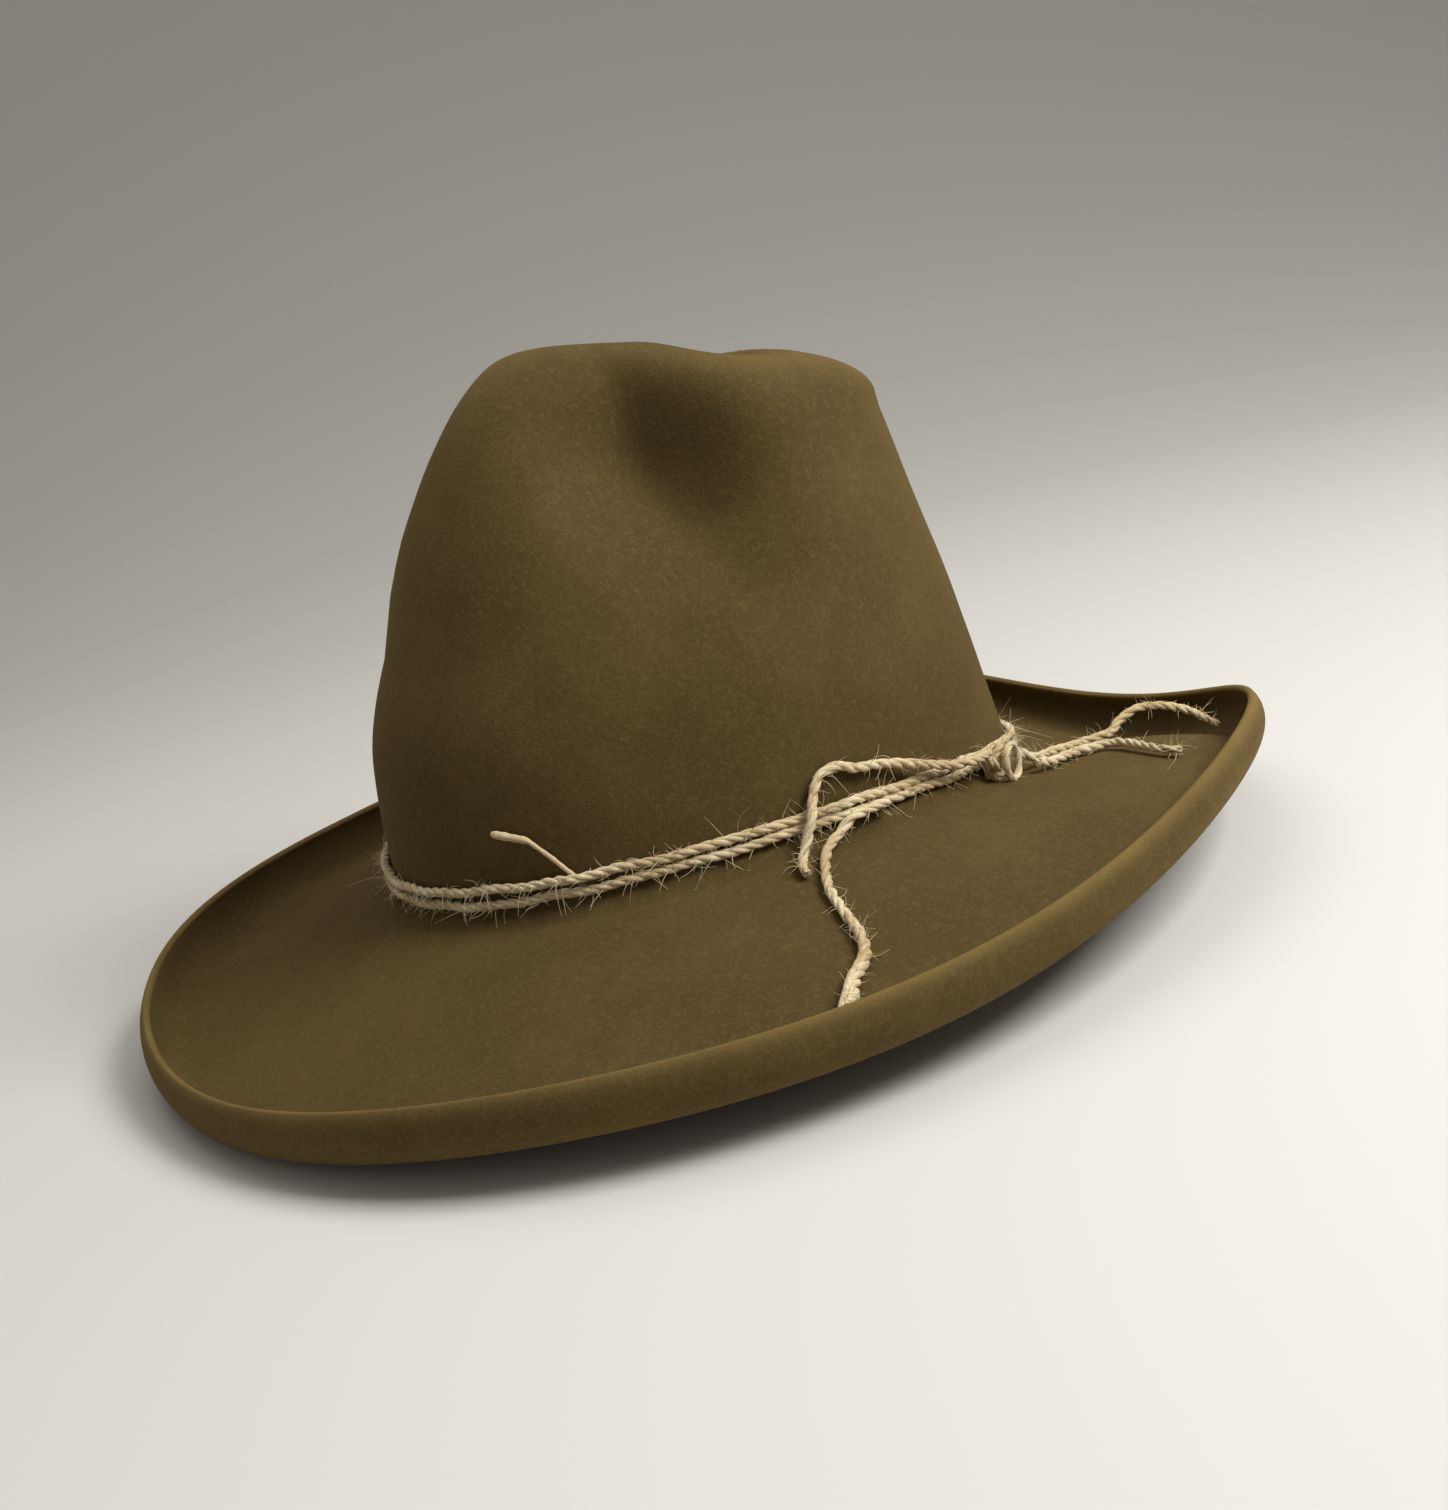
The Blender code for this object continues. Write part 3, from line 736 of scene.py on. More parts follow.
def frames_along(line: Array, closed: bool) -> tuple[Array, Array, Array]:
    """Tangent and two cross directions at each point of a line, turning as little as they can.

    Args:
        line: points in millimetres.
        closed: whether the line returns to its start.

    Returns:
        The tangents and the two cross directions.
    """
    t = np.roll(line, -1, 0) - np.roll(line, 1, 0) if closed else np.gradient(line, axis=0)
    t = t / np.linalg.norm(t, axis=1)[:, None]
    ref = np.array([0.0, 0.0, 1.0]) if abs(t[0][2]) < 0.9 else np.array([1.0, 0.0, 0.0])
    u = np.cross(ref, t[0])
    us = []
    for ti in t:
        u = u - ti * (u @ ti)
        u = u / np.linalg.norm(u)
        us.append(u)
    us = np.array(us)
    ws = np.cross(t, us)
    if closed:
        end = us[-1] - t[0] * (us[-1] @ t[0])
        turn = np.arctan2(end @ ws[0], end @ us[0])
        a = -turn * np.arange(len(line)) / len(line)
        us, ws = (us * np.cos(a)[:, None] + ws * np.sin(a)[:, None],
                  -us * np.sin(a)[:, None] + ws * np.cos(a)[:, None])
    return t, us, ws


def tube_mesh(lines: list[Array], radii: list[Array], closed: bool, sides: int,
              name: str) -> bpy.types.Object:
    """One mesh of round tubes with a UV map that runs along each.

    Args:
        lines: centre lines in millimetres.
        radii: radius at each point of each line.
        closed: whether every line returns to its start.
        sides: faces round a tube.
        name: the piece's name.

    Returns:
        The new mesh object, in metres.
    """
    verts, faces, uvs = [], [], []
    base = 0
    a = np.arange(sides) * 2 * pi / sides
    for line, radius in zip(lines, radii):
        _, us, ws = frames_along(line, closed)
        m = len(line)
        ring = (np.cos(a)[None, :, None] * us[:, None] + np.sin(a)[None, :, None] * ws[:, None])
        verts.append(FORM.seat(line[:, None] + ring * np.asarray(radius).reshape(-1, 1, 1)).reshape(-1, 3))
        for i in range(m if closed else m - 1):
            for j in range(sides):
                k, nxt = (j + 1) % sides, (i + 1) % m
                faces.append((base + i * sides + j, base + i * sides + k,
                              base + nxt * sides + k, base + nxt * sides + j))
                v0, v1 = i * 0.08, (i + 1) * 0.08
                uvs += [(j / sides, v0), ((j + 1) / sides, v0), ((j + 1) / sides, v1), (j / sides, v1)]
        if not closed:
            faces.append(tuple(base + j for j in range(sides))[::-1])
            faces.append(tuple(base + (m - 1) * sides + j for j in range(sides)))
            uvs += [(0.5, 0.0)] * (2 * sides)
        base += m * sides
    piece = new_piece(name, np.concatenate(verts), faces)
    layer = piece.data.uv_layers.new(name="UVMap")
    layer.data.foreach_set("uv", np.array(uvs, float).reshape(-1))
    piece.data.update()
    edit_all(piece)
    return piece


# ---------------------------------------------------------------- the pieces


@dataclass
class FeltBody:
    """Crown and brim in one piece of felt."""

    columns: int = 200
    top_rows: int = 46
    wall_rows: int = 30
    brim_rows: int = 66
    hand_mm: float = 0.55     # unevenness of hand shaping
    crown_end: float = 0.022  # the crown's rows stop and the brim's rows start a little off the break line,
    brim_start: float = 0.03  # so that the fold between them is round

    def rule(self, turn: Array, share: Array) -> Array:
        """Points of the upper face.

        Args:
            turn: angle round the hat.
            share: 0 at the top's centre, 1 at the lip.

        Returns:
            Points in metres.
        """
        rows = self.top_rows + self.wall_rows + self.brim_rows
        i = np.round(share * rows)
        k = np.clip(i / self.top_rows, 0, 1)
        k = np.where(k <= 0, 0, 1 - (1 - k) ** 1.35)
        v = FORM.v_of(np.clip(k, 0, 1))
        j = np.clip((i - self.top_rows) / self.wall_rows, 0, 1)
        v = np.where(i > self.top_rows, FORM.wall * (1 - j) + self.crown_end * j, v)
        v = np.where(i <= 0, 0.99999, v)
        upper = FORM.crown(np.where(i <= 0, 0.0, turn), v)
        b = np.clip((i - self.top_rows - self.wall_rows) / self.brim_rows, 0, 1)
        t = self.brim_start + (1 - self.brim_start) * b
        lower = FORM.brim(turn, t)
        p = np.where((b > 0)[:, None], lower, upper)
        free = smooth(14.0, 40.0, p[:, 2]) + smooth(0.12, 0.3, t) * (1 - smooth(0.42, 0.6, t)) * (b > 0)
        aside = Vector((9, 3, 1))
        wave = np.array([noise.noise(Vector(q) * 0.022) + 0.5 * noise.noise(Vector(q) * 0.06 + aside)
                         for q in p])
        n = p - np.array([0.0, 0.0, 20.0])
        n = n / (np.linalg.norm(n, axis=1)[:, None] + 1e-9)
        n = np.where((b > 0)[:, None], np.array([0.0, 0.0, 1.0]), n)
        p = p + n * (self.hand_mm * wave * np.clip(free, 0, 1) * (i > 0))[:, None]
        return FORM.seat(p)

    def build(self, felt: bpy.types.Material) -> bpy.types.Object:
        """Shape the upper face, give it its thickness and mark where it is rubbed and where highlight is
        painted.

        Args:
            felt: its finish.

        Returns:
            The finished piece.
        """
        rows = self.top_rows + self.wall_rows + self.brim_rows
        piece = wrapped_sheet("felt_crown_and_brim", self.columns, rows, self.rule)
        apply_modifier(piece, "SOLIDIFY", thickness=FORM.felt * MM, offset=-1.0, use_even_offset=True,
                       use_quality_normals=True)
        apply_modifier(piece, "BEVEL", width=0.7 * MM, segments=2, limit_method="ANGLE",
                       angle_limit=radians(55))
        for vertex in piece.data.vertices:      # the brim rests on the floor and doesn't dip into it
            vertex.co.z = max(vertex.co.z, 0.0)
        self.mark_wear_and_highlight(piece)
        return dress(piece, felt, Body.HAT, "felt", "felt_body", shade=70)

    def mark_wear_and_highlight(self, piece: bpy.types.Object) -> None:
        """Store how much each point is painted lighter: the lip, as rubbed felt and painted highlight, and
        the top's rim, as painted highlight.

        Args:
            piece: the felt.
        """
        co = points_of(piece.data) / MM - np.array([0.0, FORM.shift, FORM.lift])
        turn = np.arctan2(co[:, 0] / FORM.lip_b, -co[:, 1] / FORM.lip_a)
        lx, ly = FORM.lip_plan(turn)
        rim = np.exp(-((np.hypot(co[:, 0] - lx, co[:, 1] - ly)) / 4.0) ** 2)
        rim *= np.exp(-((co[:, 2] - FORM.lip_height(turn)) / 2.6) ** 2)
        high = FORM.top_h - FORM.top_slope * (co[:, 1] - FORM.middle)
        reach = np.hypot(co[:, 0] / FORM.top_half, co[:, 1] / 85.0)
        # painted highlight along the top's rim
        top = smooth(-16.0, -3.0, co[:, 2] - high) * smooth(0.45, 0.85, reach)
        # lip: rubbed felt and painted highlight; top's rim: painted highlight
        wear = np.clip(1.15 * rim + 0.45 * top, 0, 1)
        layer = piece.data.attributes.new("wear", "FLOAT", "POINT")
        layer.data.foreach_set("value", wear)


@dataclass
class Sweatband:
    """Leather sweatband with reed, stitching, seam strip, bow and a blank size label."""

    low: float = 4.0              # lower and upper edge, above the break line
    high: float = 56.0
    thick: float = 1.0
    inside: float = 5.4           # depth of the leather's inner face in the crown's outer face
    reed_in: float = 4.2          # depth of the reed's middle
    bow_height: float = 11.0
    rear_radius: float = 76.0     # turns lengths along the rear into angles
    stitch_mm: float = 3.2
    round_mm: float = 560.0       # the band's way round the head

    def build(self, leather: bpy.types.Material, nylon: bpy.types.Material, thread: bpy.types.Material,
              ribbon: bpy.types.Material, tape: bpy.types.Material) -> None:
        """Build every piece of the sweatband.

        Args:
            leather: finish of the band and its seam strip.
            nylon: finish of the reed.
            thread: finish of the stitches.
            ribbon: finish of the bow.
            tape: finish of the label.
        """
        band = wrapped_sheet("sweatband_leather", 168, 22,
                             lambda t, s: FORM.seat(self.rule(t, s)), inwards=True)
        apply_modifier(band, "SOLIDIFY", thickness=self.thick * MM, offset=-1.0, use_even_offset=True)
        dress(band, leather, Body.HAT, "sweatband_leather", "sweatband")
        turn = np.linspace(0, 2 * pi, 220, endpoint=False)
        reed = tube_mesh([FORM.wall_at(turn, 1.7, self.reed_in)], [np.full(220, 1.1)], True, 10, "reed")
        dress(reed, nylon, Body.HAT, "reed_plastic", "sweatband_reed")
        self.stitches(thread)
        self.strip("seam_strip", leather, "sweatband_leather", "sweatband_seam")
        self.label(tape)
        self.bow(ribbon)

    def rule(self, turn: Array, share: Array) -> Array:
        """Inner face of the leather, faintly rippled where it was drawn tight.

        Args:
            turn: angle round the hat.
            share: 0 at the lower edge, 1 at the upper.

        Returns:
            Points in millimetres.
        """
        height = self.low + (self.high - self.low) * share
        ripple = 0.12 * np.sin(23 * turn) * np.sin(pi * share) ** 2
        return FORM.wall_at(turn, height, self.inside + ripple)

    def stitches(self, thread: bpy.types.Material) -> None:
        """Two rows of short stitches round the band, each stitch a bowed length of thread.

        Args:
            thread: their finish.
        """
        lines, radii = [], []
        count = int(self.round_mm / self.stitch_mm)
        for height in (7.0, 53.0):
            for n in range(count):
                a = (n + np.linspace(0.12, 0.78, 5)) / count * 2 * pi
                rise = 0.28 * np.sin(np.linspace(0, pi, 5))
                lines.append(FORM.wall_at(a, np.full(5, height), self.inside + 0.02 + rise))
                radii.append(np.array([0.16, 0.22, 0.24, 0.22, 0.16]))
        piece = tube_mesh(lines, radii, False, 5, "sweatband_stitching")
        dress(piece, thread, Body.HAT, "bow_ribbon")

    def panel(self, name: str, arc: tuple[float, float], height: tuple[float, float], thick: float,
              crown: float) -> bpy.types.Object:
        """Thin panel on the band's inner face at the rear.

        Args:
            name: the piece's name.
            arc: its two ends in millimetres from the rear.
            height: its lower and upper edge.
            thick: its thickness.
            crown: how far its middle stands up.

        Returns:
            The panel.
        """
        piece = new_grid(name, 12, 16)
        co = points_of(piece.data)
        s = arc[0] + (co[:, 0] + 0.5) * (arc[1] - arc[0])
        h = height[0] + (co[:, 1] + 0.5) * (height[1] - height[0])
        bulge = crown * (1 - (2 * co[:, 0]) ** 2) * (1 - (2 * co[:, 1]) ** 4)
        p = FORM.seat(FORM.wall_at(pi - s / self.rear_radius, h, self.inside + 0.4 + thick + bulge))
        piece.data.vertices.foreach_set("co", p.reshape(-1))
        piece.data.update()
        if piece.data.polygons[0].normal.y > 0:
            flip_faces(piece)
        apply_modifier(piece, "SOLIDIFY", thickness=thick * MM, offset=-1.0)
        apply_modifier(piece, "BEVEL", width=thick * 0.3 * MM, segments=2, limit_method="ANGLE",
                       angle_limit=radians(50))
        return piece

    def strip(self, name: str, leather: bpy.types.Material, slot: str, node: str) -> None:
        """Leather strip over the band's rear seam."""
        dress(self.panel(name, (-3.0, 3.0), (19.0, 53.0), 0.6, 0.1), leather, Body.HAT, slot, node)

    def label(self, tape: bpy.types.Material) -> None:
        """Blank woven label beside the seam."""
        dress(self.panel("blank_size_label", (19.0, 35.0), (18.0, 30.0), 0.3, 0.05), tape, Body.HAT,
              "label_tape", "size_label")

    def bow(self, ribbon: bpy.types.Material) -> None:
        """Flat ribbon bow: two loops and a knot.

        Args:
            ribbon: its finish.
        """
        pieces = []
        for side in (-1, 1):
            a = np.linspace(0, 2 * pi, 40, endpoint=False)
            s = side * (6.4 + 5.6 * np.cos(a))
            depth = self.inside + 1.35 + 0.65 * np.sin(a)
            centre = FORM.wall_at(pi - s / self.rear_radius, self.bow_height, depth)
            half = 3.3 + 1.3 * np.abs(s) / 12
            up = np.array([0.0, 0.0, 1.0])
            verts = np.concatenate([centre - up * half[:, None], centre + up * half[:, None]])
            faces = [(i, (i + 1) % 40, 40 + (i + 1) % 40, 40 + i) for i in range(40)]
            loop = new_piece("bow_loop", FORM.seat(verts), faces)
            edit_all(loop)
            apply_modifier(loop, "SOLIDIFY", thickness=0.00025, offset=0.0)
            pieces.append(loop)
        s = np.linspace(-1.9, 1.9, 9)
        knot = tube_mesh([FORM.wall_at(pi - s / self.rear_radius, self.bow_height, self.inside + 1.5)],
                         [1.05 * np.array([0.5, 0.85, 0.97, 1.0, 1.02, 1.0, 0.97, 0.85, 0.5])], False, 16,
                         "sweatband_ribbon_bow")
        deselect()
        for loop in pieces:
            loop.select_set(True)
        knot.select_set(True)
        bpy.context.view_layer.objects.active = knot
        bpy.ops.object.join()
        dress(knot, ribbon, Body.HAT, "bow_ribbon", "sweatband_bow")


@dataclass
class Liner:
    """Satin liner: pleated side band, tip and the piping between them."""

    outside: float = 2.7      # depth of the cloth's outer face in the crown's outer face
    thick: float = 0.5        # room that its solid has
    low: float = 0.25         # row of the crown where the side band starts
    rim: float = 0.76         # shares of the way out from the top's centre: where the side band ends,
    seam: float = 0.748       # where the piping lies
    tip: float = 0.735        # and where the tip ends
    pleats: int = 44

    def side_rule(self, turn: Array, share: Array) -> Array:
        """Inner face of the side band, gathered into soft pleats towards the seam.

        Args:
            turn: angle round the hat.
            share: 0 at the lower edge, 1 at the seam.

        Returns:
            Points in metres.
        """
        v = self.low + (FORM.v_of(self.rim) - self.low) * share
        pleat = 0.5 + 0.5 * np.sin(self.pleats * turn + 0.8 * np.sin(5 * turn))
        rise = 0.9 * pleat * smooth(0.55, 0.85, share) * (1 - 0.6 * smooth(0.92, 1.0, share))
        return FORM.seat(FORM.crown_at(turn, v, self.outside + self.thick + rise))

    def tip_rule(self, turn: Array, share: Array) -> Array:
        """Inner face of the tip.

        Args:
            turn: angle round the hat.
            share: 0 at the middle, 1 at the seam.

        Returns:
            Points in metres.
        """
        k = self.tip * share
        v = np.where(share <= 0, 0.9999, FORM.v_of(np.clip(k, 1e-4, 1)))
        turn = np.where(share <= 0, 0.0, turn)
        return FORM.seat(FORM.crown_at(turn, v, self.outside + self.thick + 0.9))

    def build(self, satin: bpy.types.Material, piping: bpy.types.Material) -> None:
        """Build the liner's three pieces.

        Args:
            satin: finish of the side band and the tip.
            piping: finish of the piping.
        """
        side = wrapped_sheet("liner_side_band", 352, 60, self.side_rule, inwards=True)
        self.finish(side, satin, "liner_side")
        tip = wrapped_sheet("liner_crown_tip", 120, 40, self.tip_rule, inwards=True)
        self.finish(tip, satin, "liner_tip")
        turn = np.linspace(0, 2 * pi, 300, endpoint=False)
        line = FORM.crown_at(turn, FORM.v_of(self.seam), self.outside + self.thick + 1.6)
        cord = tube_mesh([line], [np.full(300, 0.7)], True, 10, "liner_seam_piping")
        dress(cord, piping, Body.HAT, "piping_satin", "liner_piping")

    def finish(self, piece: bpy.types.Object, satin: bpy.types.Material, node: str) -> None:
        """Thicken and dress one cloth piece.

        Args:
            piece: the open sheet.
            satin: its finish.
            node: the node it stands for.
        """
        apply_modifier(piece, "SOLIDIFY", thickness=0.0003, offset=-1.0)
        dress(piece, satin, Body.HAT, "liner_satin", node, shade=80)


@dataclass
class TwineEnd:
    """One loose end of the twine."""

    name: str
    node: str
    route: list[tuple[float, float, float]]
    swell: float = 1.0        # width of its tip, as a share of the strand's
    fray: float = 0.0         # how far its tip has come apart, 0 to 1


@dataclass
class TwineBand:
    """Two turns of jute twine tied at the wearer's left rear, with its knot, loop and loose ends."""

    width: float = 2.8
    end_width: float = 2.6
    pitch: float = 12.0       # way along the strand in which a ply goes round once
    seed: int = 11
    knot_turn: float = radians(117.0)
    stick_turn: float = radians(39.6)
    knot_height: float = 7.5
    knot_out: float = 6.5     # the knot's middle outside the felt: twine, half the knot and the gaps between
    loop_out: float = 4.3     # the small loop's middle outside the knot's

    def __post_init__(self) -> None:
        """Set the random source."""
        self.rng = np.random.default_rng(self.seed)

    def turn_line(self, height: float, lift: float, count: int = 760) -> Array:
        """Centre line of one turn round the crown.

        Args:
            height: its height above the break.
            lift: how far it rises and stands out over the stick.
            count: number of points.

        Returns:
            Points in millimetres.
        """
        turn = np.linspace(0, 2 * pi, count, endpoint=False)

        def near(a: float, w: float) -> Array:
            """Bell of width w about the angle a."""
            return np.exp(-(np.angle(np.exp(1j * (turn - a))) / w) ** 2)

        h = height + lift * (0.9 * near(radians(22), 0.45) + 0.35 * near(radians(300), 0.6)
                             + 0.3 * np.sin(3 * turn))
        out = 0.5 + self.width / 2 + lift * 1.7 * near(self.stick_turn, 0.075)
        wander = 0.16 * np.sin(17 * turn + height) + 0.12 * np.sin(29 * turn + 2 * height)
        return FORM.wall_at(turn, h + wander, -(out + 0.12 * np.sin(13 * turn + height)))

    def plies(self, line: Array, width: float, closed: bool, taper: Array | None = None,
              open_end: float = 0.0) -> tuple[list[Array], list[Array]]:
        """Three plies laid round a line.

        Args:
            line: the strand's centre line in millimetres.
            width: the strand's width.
            closed: whether the line returns to its start.
            taper: share of the width at each point.
            open_end: how far the plies open out at the end, in strand widths.

        Returns:
            The plies' lines and radii.
        """
        m = len(line)
        _, us, ws = frames_along(line, closed)
        step = np.linalg.norm(np.diff(line, axis=0), axis=1)
        s = np.concatenate([[0], np.cumsum(step)])
        total = s[-1] + (np.linalg.norm(line[0] - line[-1]) if closed else 0)
        turns = max(1, round(total / self.pitch)) if closed else total / self.pitch
        size = np.ones(m) if taper is None else taper
        spread = 1 + open_end * smooth(0.8, 1.0, s / total) * 2.2
        lines, radii = [], []
        for n in range(3):
            a = 2 * pi * (turns * s / total + n / 3)
            if not closed:
                a = a + 0.5 * np.sin(s / 7.0 + n)
            r = 0.22 * width * size * spread
            uneven = 1 + 0.13 * np.sin(s / 5.3 + 2.1 * n) + 0.10 * np.sin(s / 2.3 + 1.7 * n)
            thick = 0.285 * width * size * uneven
            lines.append(line + r[:, None] * (np.cos(a)[:, None] * us + np.sin(a)[:, None] * ws))
            radii.append(thick)
        return lines, radii

    def hairs(self, line: Array, width: float, per_mm: float, longest: float, closed: bool,
              hang: float) -> tuple[list[Array], list[Array]]:
        """Stray fibres that stand off a strand.

        Args:
            line: the strand's centre line.
            width: its width.
            per_mm: fibres for each millimetre of it.
            longest: length of the longest fibre.
            closed: whether the line returns to its start.
            hang: how strongly fibres droop.

        Returns:
            The fibres' lines and radii.
        """
        t, us, ws = frames_along(line, closed)
        length = np.linalg.norm(np.diff(line, axis=0), axis=1).sum()
        lines, radii = [], []
        for _ in range(int(length * per_mm)):
            i = int(self.rng.integers(1, len(line) - 1))
            a = self.rng.uniform(0, 2 * pi)
            side = np.cos(a) * us[i] + np.sin(a) * ws[i]
            inward = side[:2] @ (-line[i][:2]) / (np.linalg.norm(line[i][:2]) + 1e-9)
            if inward > 0.2 or side[2] < -0.93:
                continue
            size = longest * self.rng.beta(1.3, 3.2) + 0.8
            way = side * self.rng.uniform(0.35, 1.0) + t[i] * self.rng.uniform(-1.0, 1.0)
            way = way / np.linalg.norm(way)
            bend = self.rng.normal(0, 0.85, 3)
            g = np.linspace(0, 1, 6)[:, None]
            p = line[i] + side * width * 0.4 + way * size * g + bend * size * 0.45 * g**2
            p = p - np.array([0, 0, 1.0]) * hang * size * g**2 * 0.35
            p = clear_of_felt(p)
            lines.append(p)
            radii.append(np.linspace(0.10, 0.04, 6) * self.rng.uniform(0.8, 1.25))
        return lines, radii

    def knot_frame(self) -> tuple[Array, Array, Array, Array]:
        """Centre of the knot with its outward, rearward and upward directions."""
        base = FORM.wall_at(self.knot_turn, self.knot_height, 0.0)
        out = FORM.wall_at(self.knot_turn, self.knot_height, -1.0) - base
        out[2] = 0.0
        out = out / np.linalg.norm(out)
        rear = np.array([-out[1], out[0], 0.0])
        return base + out * self.knot_out, out, rear, np.array([0.0, 0.0, 1.0])

    def ends(self) -> list[TwineEnd]:
        """The four loose ends with their routes in millimetres."""
        return [
            TwineEnd("twine_short_end", "twine_end_a",
                     [(87.2, 41.0, 9.8), (89.6, 34.0, 10.6), (90.3, 26.0, 12.0), (90.2, 18.6, 14.4),
                      (88.6, 10.6, 17.6), (87.3, 1.0, 20.2), (86.9, -5.4, 21.4), (86.2, -9.8, 23.4),
                      (86.0, -15.6, 22.8), (87.4, -20.4, 19.4), (90.2, -24.2, 14.8), (91.2, -27.2, 10.4),
                      (92.2, -30.4, 7.0), (94.4, -33.2, 4.9), (97.6, -34.3, 3.3)], 1.0, 0.5),
            TwineEnd("twine_long_end", "twine_end_b",
                     [(91.8, -0.5, 10.6), (91.6, -11.4, 10.6), (91.8, -17.6, 8.0), (94.6, -25.2, 5.2),
                      (103.6, -33.0, 1.2), (114.6, -37.4, -3.5), (122.4, -39.4, -6.7), (128.2, -43.6, -9.3),
                      (133.0, -51.0, -11.5), (139.6, -58.4, -12.2), (147.0, -65.0, -11.0)],
                     1.5, 0.9),
            TwineEnd("twine_arched_end", "twine_end_c",
                     [(81.4, 55.4, 5.4), (82.6, 62.0, 1.4), (79.0, 72.0, -0.6), (77.2, 84.0, -2.4),
                      (78.2, 97.0, -3.0), (77.6, 103.0, -0.9), (77.6, 112.0, 0.0), (79.0, 121.0, -2.1),
                      (83.0, 129.0, -6.6), (86.3, 135.2, -12.2)], 0.95, 0.3),
            TwineEnd("twine_rear_end", "twine_end_d",
                     [(88.6, 57.6, 1.7), (87.4, 64.0, 0.0), (85.0, 73.0, -1.2), (84.4, 82.0, -2.3),
                      (88.4, 88.2, -2.3), (98.0, 87.6, -1.8), (109.4, 86.0, -1.8), (114.0, 88.6, -2.5)],
                     0.85, 0.8),
        ]

    def build(self, jute: bpy.types.Material, fluff: bpy.types.Material) -> None:
        """Build the loose ends first, then the turns, the knot, the loop and the stray fibres.

        Args:
            jute: finish of the strands.
            fluff: finish of the stray fibres.
        """
        for end in self.ends():
            line = curve_through(end.route, 0.7)
            m = len(line)
            taper = np.interp(np.arange(m) / m, [0, 0.55, 0.85, 1.0], [1.0, 1.0, end.swell, end.swell * 0.8])
            lines, radii = self.plies(line, self.end_width * 1.1, False, taper, end.fray * 0.25)
            strand = tube_mesh(lines, radii, False, 9, end.name)
            dress(strand, jute, Body.TWINE, "jute_twine", end.node)
            h1 = self.hairs(line, self.end_width, 1.8, 6.5, False, 0.3)
            h2 = self.hairs(line[int(m * 0.86):], self.end_width, 5.0 * end.fray, 9.0, False, 0.6)
            fuzz = tube_mesh(h1[0] + h2[0], h1[1] + h2[1], False, 4, end.name + "_fibres")
            dress(fuzz, fluff, Body.TWINE, "jute_twine")
        stray, stray_r = [], []
        for name, node, height, lift in (("twine_lower_turn", "twine_turn_lower", 4.3, 0.0),
                                         ("twine_upper_turn", "twine_turn_upper", 7.3, 1.0)):
            line = self.turn_line(height, lift)
            lines, radii = self.plies(line, self.width * 0.97, True)
            dress(tube_mesh(lines, radii, True, 9, name), jute, Body.TWINE, "jute_twine", node)
            h = self.hairs(line, self.width, 2.3, 8.0, True, 0.9)
            stray += h[0]
            stray_r += h[1]
        c, out, rear, up = self.knot_frame()
        c = c - 1.6 * up - 2.4 * rear
        t = np.linspace(0, 2 * pi, 150, endpoint=False)
        line = (c + 1.6 * ((np.sin(t) + 2 * np.sin(2 * t))[:, None] * rear
                            + (np.cos(t) - 2 * np.cos(2 * t))[:, None] * up - np.sin(3 * t)[:, None] * out))
        lines, radii = self.plies(line, 2.7, True)
        dress(tube_mesh(lines, radii, True, 9, "twine_overhand_knot"), jute, Body.TWINE, "jute_twine",
              "twine_knot")
        h = self.hairs(line, 2.5, 2.2, 7.0, True, 0.3)
        stray += h[0]
        stray_r += h[1]
        t = np.linspace(0, 2 * pi, 90, endpoint=False)
        mid = c + out * self.loop_out + rear * 2.6 - up * 1.6
        line = mid + 4.3 * np.cos(t)[:, None] * rear + 5.0 * np.sin(t)[:, None] * up
        lines, radii = self.plies(line, 2.2, True)
        dress(tube_mesh(lines, radii, True, 9, "twine_small_loop"), jute, Body.TWINE, "jute_twine",
              "twine_loop")
        dress(tube_mesh(stray, stray_r, False, 4, "twine_band_fibres"), fluff, Body.TWINE, "jute_twine")


def clear_of_felt(points: Array) -> Array:
    """Lift points out of the crown's wall and off the brim's upper face.

    Args:
        points: a fibre's points in millimetres.

    Returns:
        The moved points.
    """
    p = points.copy()
    for q in p:
        turn = np.arctan2(q[0] / FORM.head_b, -q[1] / FORM.head_a)
        rise = q[2] - float(FORM.break_height(turn))
        if 0 < rise < 60:       # no fibre reaches higher
            w = FORM.wall_at(turn, rise, -0.3)
            r, have = np.hypot(w[0], w[1]), np.hypot(q[0], q[1])
            if have < r:
                q[:2] *= r / have
        if np.hypot(q[0] / FORM.head_b, q[1] / FORM.head_a) > 1.0:
            lx, ly = FORM.lip_plan(turn)
            w = np.hypot(lx - FORM.head_b * np.sin(turn), ly + FORM.head_a * np.cos(turn))
            s = np.hypot(q[0] - FORM.head_b * np.sin(turn), q[1] + FORM.head_a * np.cos(turn))
            t = np.clip(FORM.flat * s / (w - FORM.lip_in - 2.0), 0, FORM.flat)
            low = float(FORM.brim(turn, np.asarray(t))[2]) + 0.35
            q[2] = max(q[2], low)
    return p


